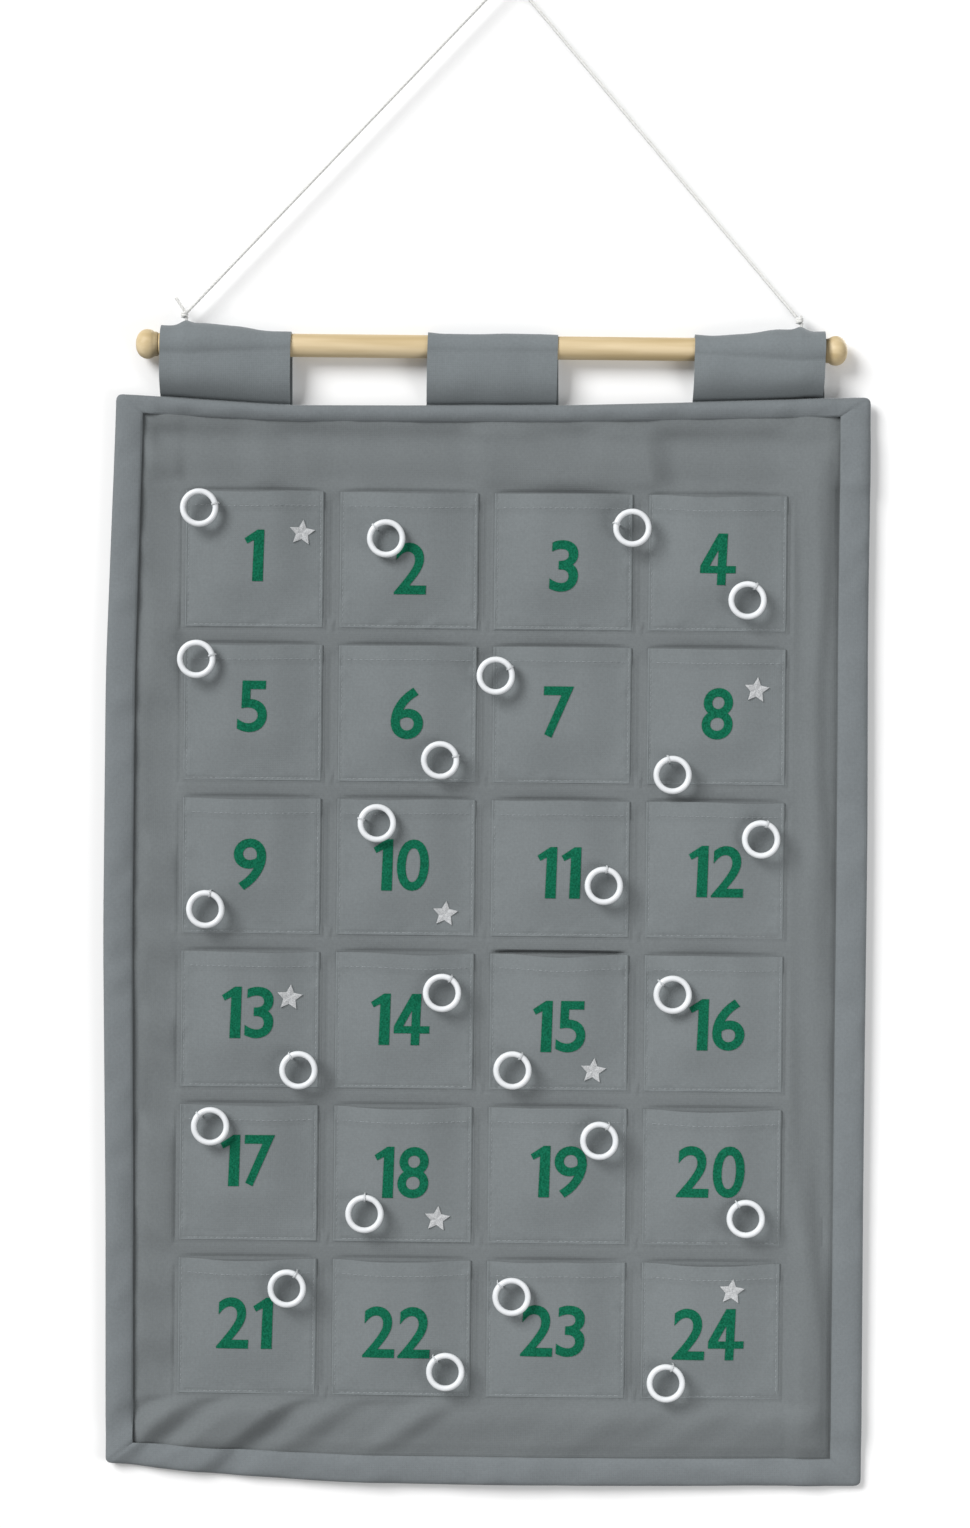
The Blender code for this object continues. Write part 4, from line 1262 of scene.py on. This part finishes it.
def bend_turn(side):
    """The angle at which a strand leaves the cord's bend over the hook."""
    knot = knot_centre(side)
    reach = math.hypot(knot[0], knot[2] + HOOK_RADIUS)
    around = math.acos((HOOK_RADIUS + CORD_DIAMETER / 2) / reach)
    return math.atan2(knot[2] + HOOK_RADIUS, knot[0]) + side * around


def make_cord(looks):
    radius = HOOK_RADIUS + CORD_DIAMETER / 2
    first, last = (bend_turn(side) % math.tau for side in (-1, 1))
    turns = np.linspace(first, last, BEND_STEPS)
    bend = np.stack([radius * np.cos(turns), 0 * turns, radius * np.sin(turns) - HOOK_RADIUS], -1)
    ends = []
    for side, touch in ((-1, bend[0]), (1, bend[-1])):
        knot = knot_centre(side)
        way = (touch - knot) / np.linalg.norm(touch - knot)
        ends.append(knot + way * (KNOT_DIAMETER / 2 + CLEARANCE))
    path = np.concatenate([[ends[0]], bend, [ends[1]]])
    obj = twisted("hanging_cord_twist", path, CORD_DIAMETER, looks["cord"])
    settle(obj, "hanging_cord", "hanger")
    return obj, path


def make_knot(side_name, side, looks):
    """The tied end: a loop round the rod, the cord up through the slot, turns of a knot and a tail."""
    knot = knot_centre(side)
    loop = (ROD_DIAMETER + CORD_DIAMETER) / 2 + CLEARANCE
    turns = np.linspace(LOOP_START_TURN, LOOP_END_TURN, LOOP_STEPS)
    around = np.stack([0 * turns, loop * np.cos(turns), loop * np.sin(turns)], -1)
    around = around + [knot[0], 0, ROD_Z]
    winds = np.linspace(0, KNOT_TURNS * math.tau, KNOT_STEPS)
    heights = np.linspace(-KNOT_HEIGHT / 2, KNOT_HEIGHT / 2, KNOT_STEPS)
    wrap = np.stack([KNOT_WRAP * np.cos(winds), KNOT_WRAP * np.sin(winds), heights], -1) + knot
    rise = np.linspace(around[-1], wrap[0], TONGUE_STEPS)[1:-1]
    way = np.array(LEFT_TAIL_WAY if side < 0 else RIGHT_TAIL_WAY)
    way /= np.linalg.norm(way)
    length = LEFT_TAIL if side < 0 else RIGHT_TAIL
    tail = wrap[-1] + way * lines(0, length, CORD_STEP)[1:, None]
    path = np.concatenate([around, rise, wrap, tail])
    obj = twisted("cord_end_" + side_name, path, CORD_DIAMETER * KNOT_CORD_SHARE, looks["cord"])
    return settle(obj, "cord_knot_" + side_name, "hanger")


# Light, wall and camera


def show_front_only(tree, shader):
    """Shows a surface to the camera from its front only, and nowhere that a piece has swung behind it."""
    path = new_node(tree, "LightPath")
    side = new_node(tree, "NewGeometry")
    front = combined(tree, 1.0, side.outputs["Backfacing"], "SUBTRACT")
    behind = new_node(tree, "AmbientOcclusion")
    behind.inside = True
    behind.samples = BEHIND_SAMPLES
    behind.inputs["Distance"].default_value = BEHIND_REACH
    free = combined(tree, behind.outputs["AO"], FREE_SHARE, "GREATER_THAN")
    front = combined(tree, front, free, "MULTIPLY")
    clear = new_node(tree, "BsdfTransparent")
    blend = new_node(tree, "MixShader")
    tree.links.new(combined(tree, path.outputs["Is Camera Ray"], front, "MULTIPLY"), blend.inputs["Fac"])
    tree.links.new(clear.outputs["BSDF"], blend.inputs[1])
    tree.links.new(shader.outputs["BSDF"], blend.inputs[2])
    tree.links.new(blend.outputs["Shader"], tree.nodes["Material Output"].inputs["Surface"])


def make_world():
    """Soft white light from all round, and a white background."""
    world = bpy.data.worlds.new("soft_white")
    world.use_nodes = True
    tree = world.node_tree
    path = new_node(tree, "LightPath")
    extra = combined(tree, path.outputs["Is Camera Ray"], BACKGROUND_STRENGTH - WORLD_STRENGTH, "MULTIPLY")
    background = tree.nodes["Background"]
    background.inputs["Color"].default_value = (1, 1, 1, 1)
    tree.links.new(combined(tree, extra, WORLD_STRENGTH, "ADD"), background.inputs["Strength"])
    bpy.context.scene.world = world


def make_stage():
    """The wall, the light from all round and the lamps."""
    signs = (-1, -1), (1, -1), (1, 1), (-1, 1)
    corners = [(across * WALL_SIZE, WALL_Y, up * WALL_SIZE) for across, up in signs]
    material, tree, shader = node_material("white_wall", WALL_COLOUR, WALL_ROUGHNESS)
    shader.inputs["Specular IOR Level"].default_value = MATT_GLOSS
    show_front_only(tree, shader)
    wall = flat_object("wall", corners, [(0, 1, 2, 3)], material)
    make_world()
    for name, place, size, power in LAMPS:
        light = bpy.data.lights.new(name, "AREA")
        light.size = size
        light.energy = power
        lamp = linked(name, light)
        lamp.location = place
        lamp.rotation_euler = (AIM - Vector(place)).to_track_quat("-Z", "Y").to_euler()


def make_camera():
    camera_data = bpy.data.cameras.new("camera")
    camera_data.lens = CAMERA_LENS
    camera_data.sensor_width = SENSOR
    camera = linked("camera", camera_data)
    distance = PIXEL_SIZE * PHOTO_HEIGHT_PIXELS * CAMERA_LENS / SENSOR
    camera.location = AIM + Vector((0, -distance, 0))
    camera.rotation_euler = (math.pi / 2, math.radians(-CAMERA_ROLL_DEGREES), 0)
    bpy.context.scene.camera = camera
    bpy.context.scene.view_settings.view_transform = "Standard"


def clear_startup_scene():
    for obj in list(bpy.data.objects):
        if obj.name in ("Cube", "Light", "Camera") and obj not in frame["nodes"].values():
            bpy.data.objects.remove(obj)


def make_cloth(looks):
    """The panel, its binding and tabs, and the pockets with all that is on them."""
    panel = make_panel(looks)
    binding = make_binding(looks)
    for name, node, side in (
        ("tab_cloth_left", "tab_left", -1),
        ("tab_cloth_middle", "tab_middle", 0),
        ("tab_cloth_right", "tab_right", 1),
    ):
        tab, length = make_tab(name, node, side, looks)
    outlines = digit_outlines()
    for number in NUMBERS:
        pocket = make_pocket(number, looks)
        on_it = [make_pocket_stitches(number, looks), make_number(number, outlines, looks)]
        on_it += [make_ring(number, looks), make_thread(number, looks)]
        if number in STAR_CENTRE_SHARES:
            on_it.append(make_star(number, looks))


def make_hanger(looks):
    """The rod, its knobs and the cord."""
    make_rod(looks)
    cord, path = make_cord(looks)
    for side_name, side in (("left", -1), ("right", 1)):
        make_knob(side_name, side, looks)
        make_knot(side_name, side, looks)


def main():
    clear_startup_scene()
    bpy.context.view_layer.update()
    looks = make_materials()
    make_cloth(looks)
    make_hanger(looks)
    make_stage()
    make_camera()


main()
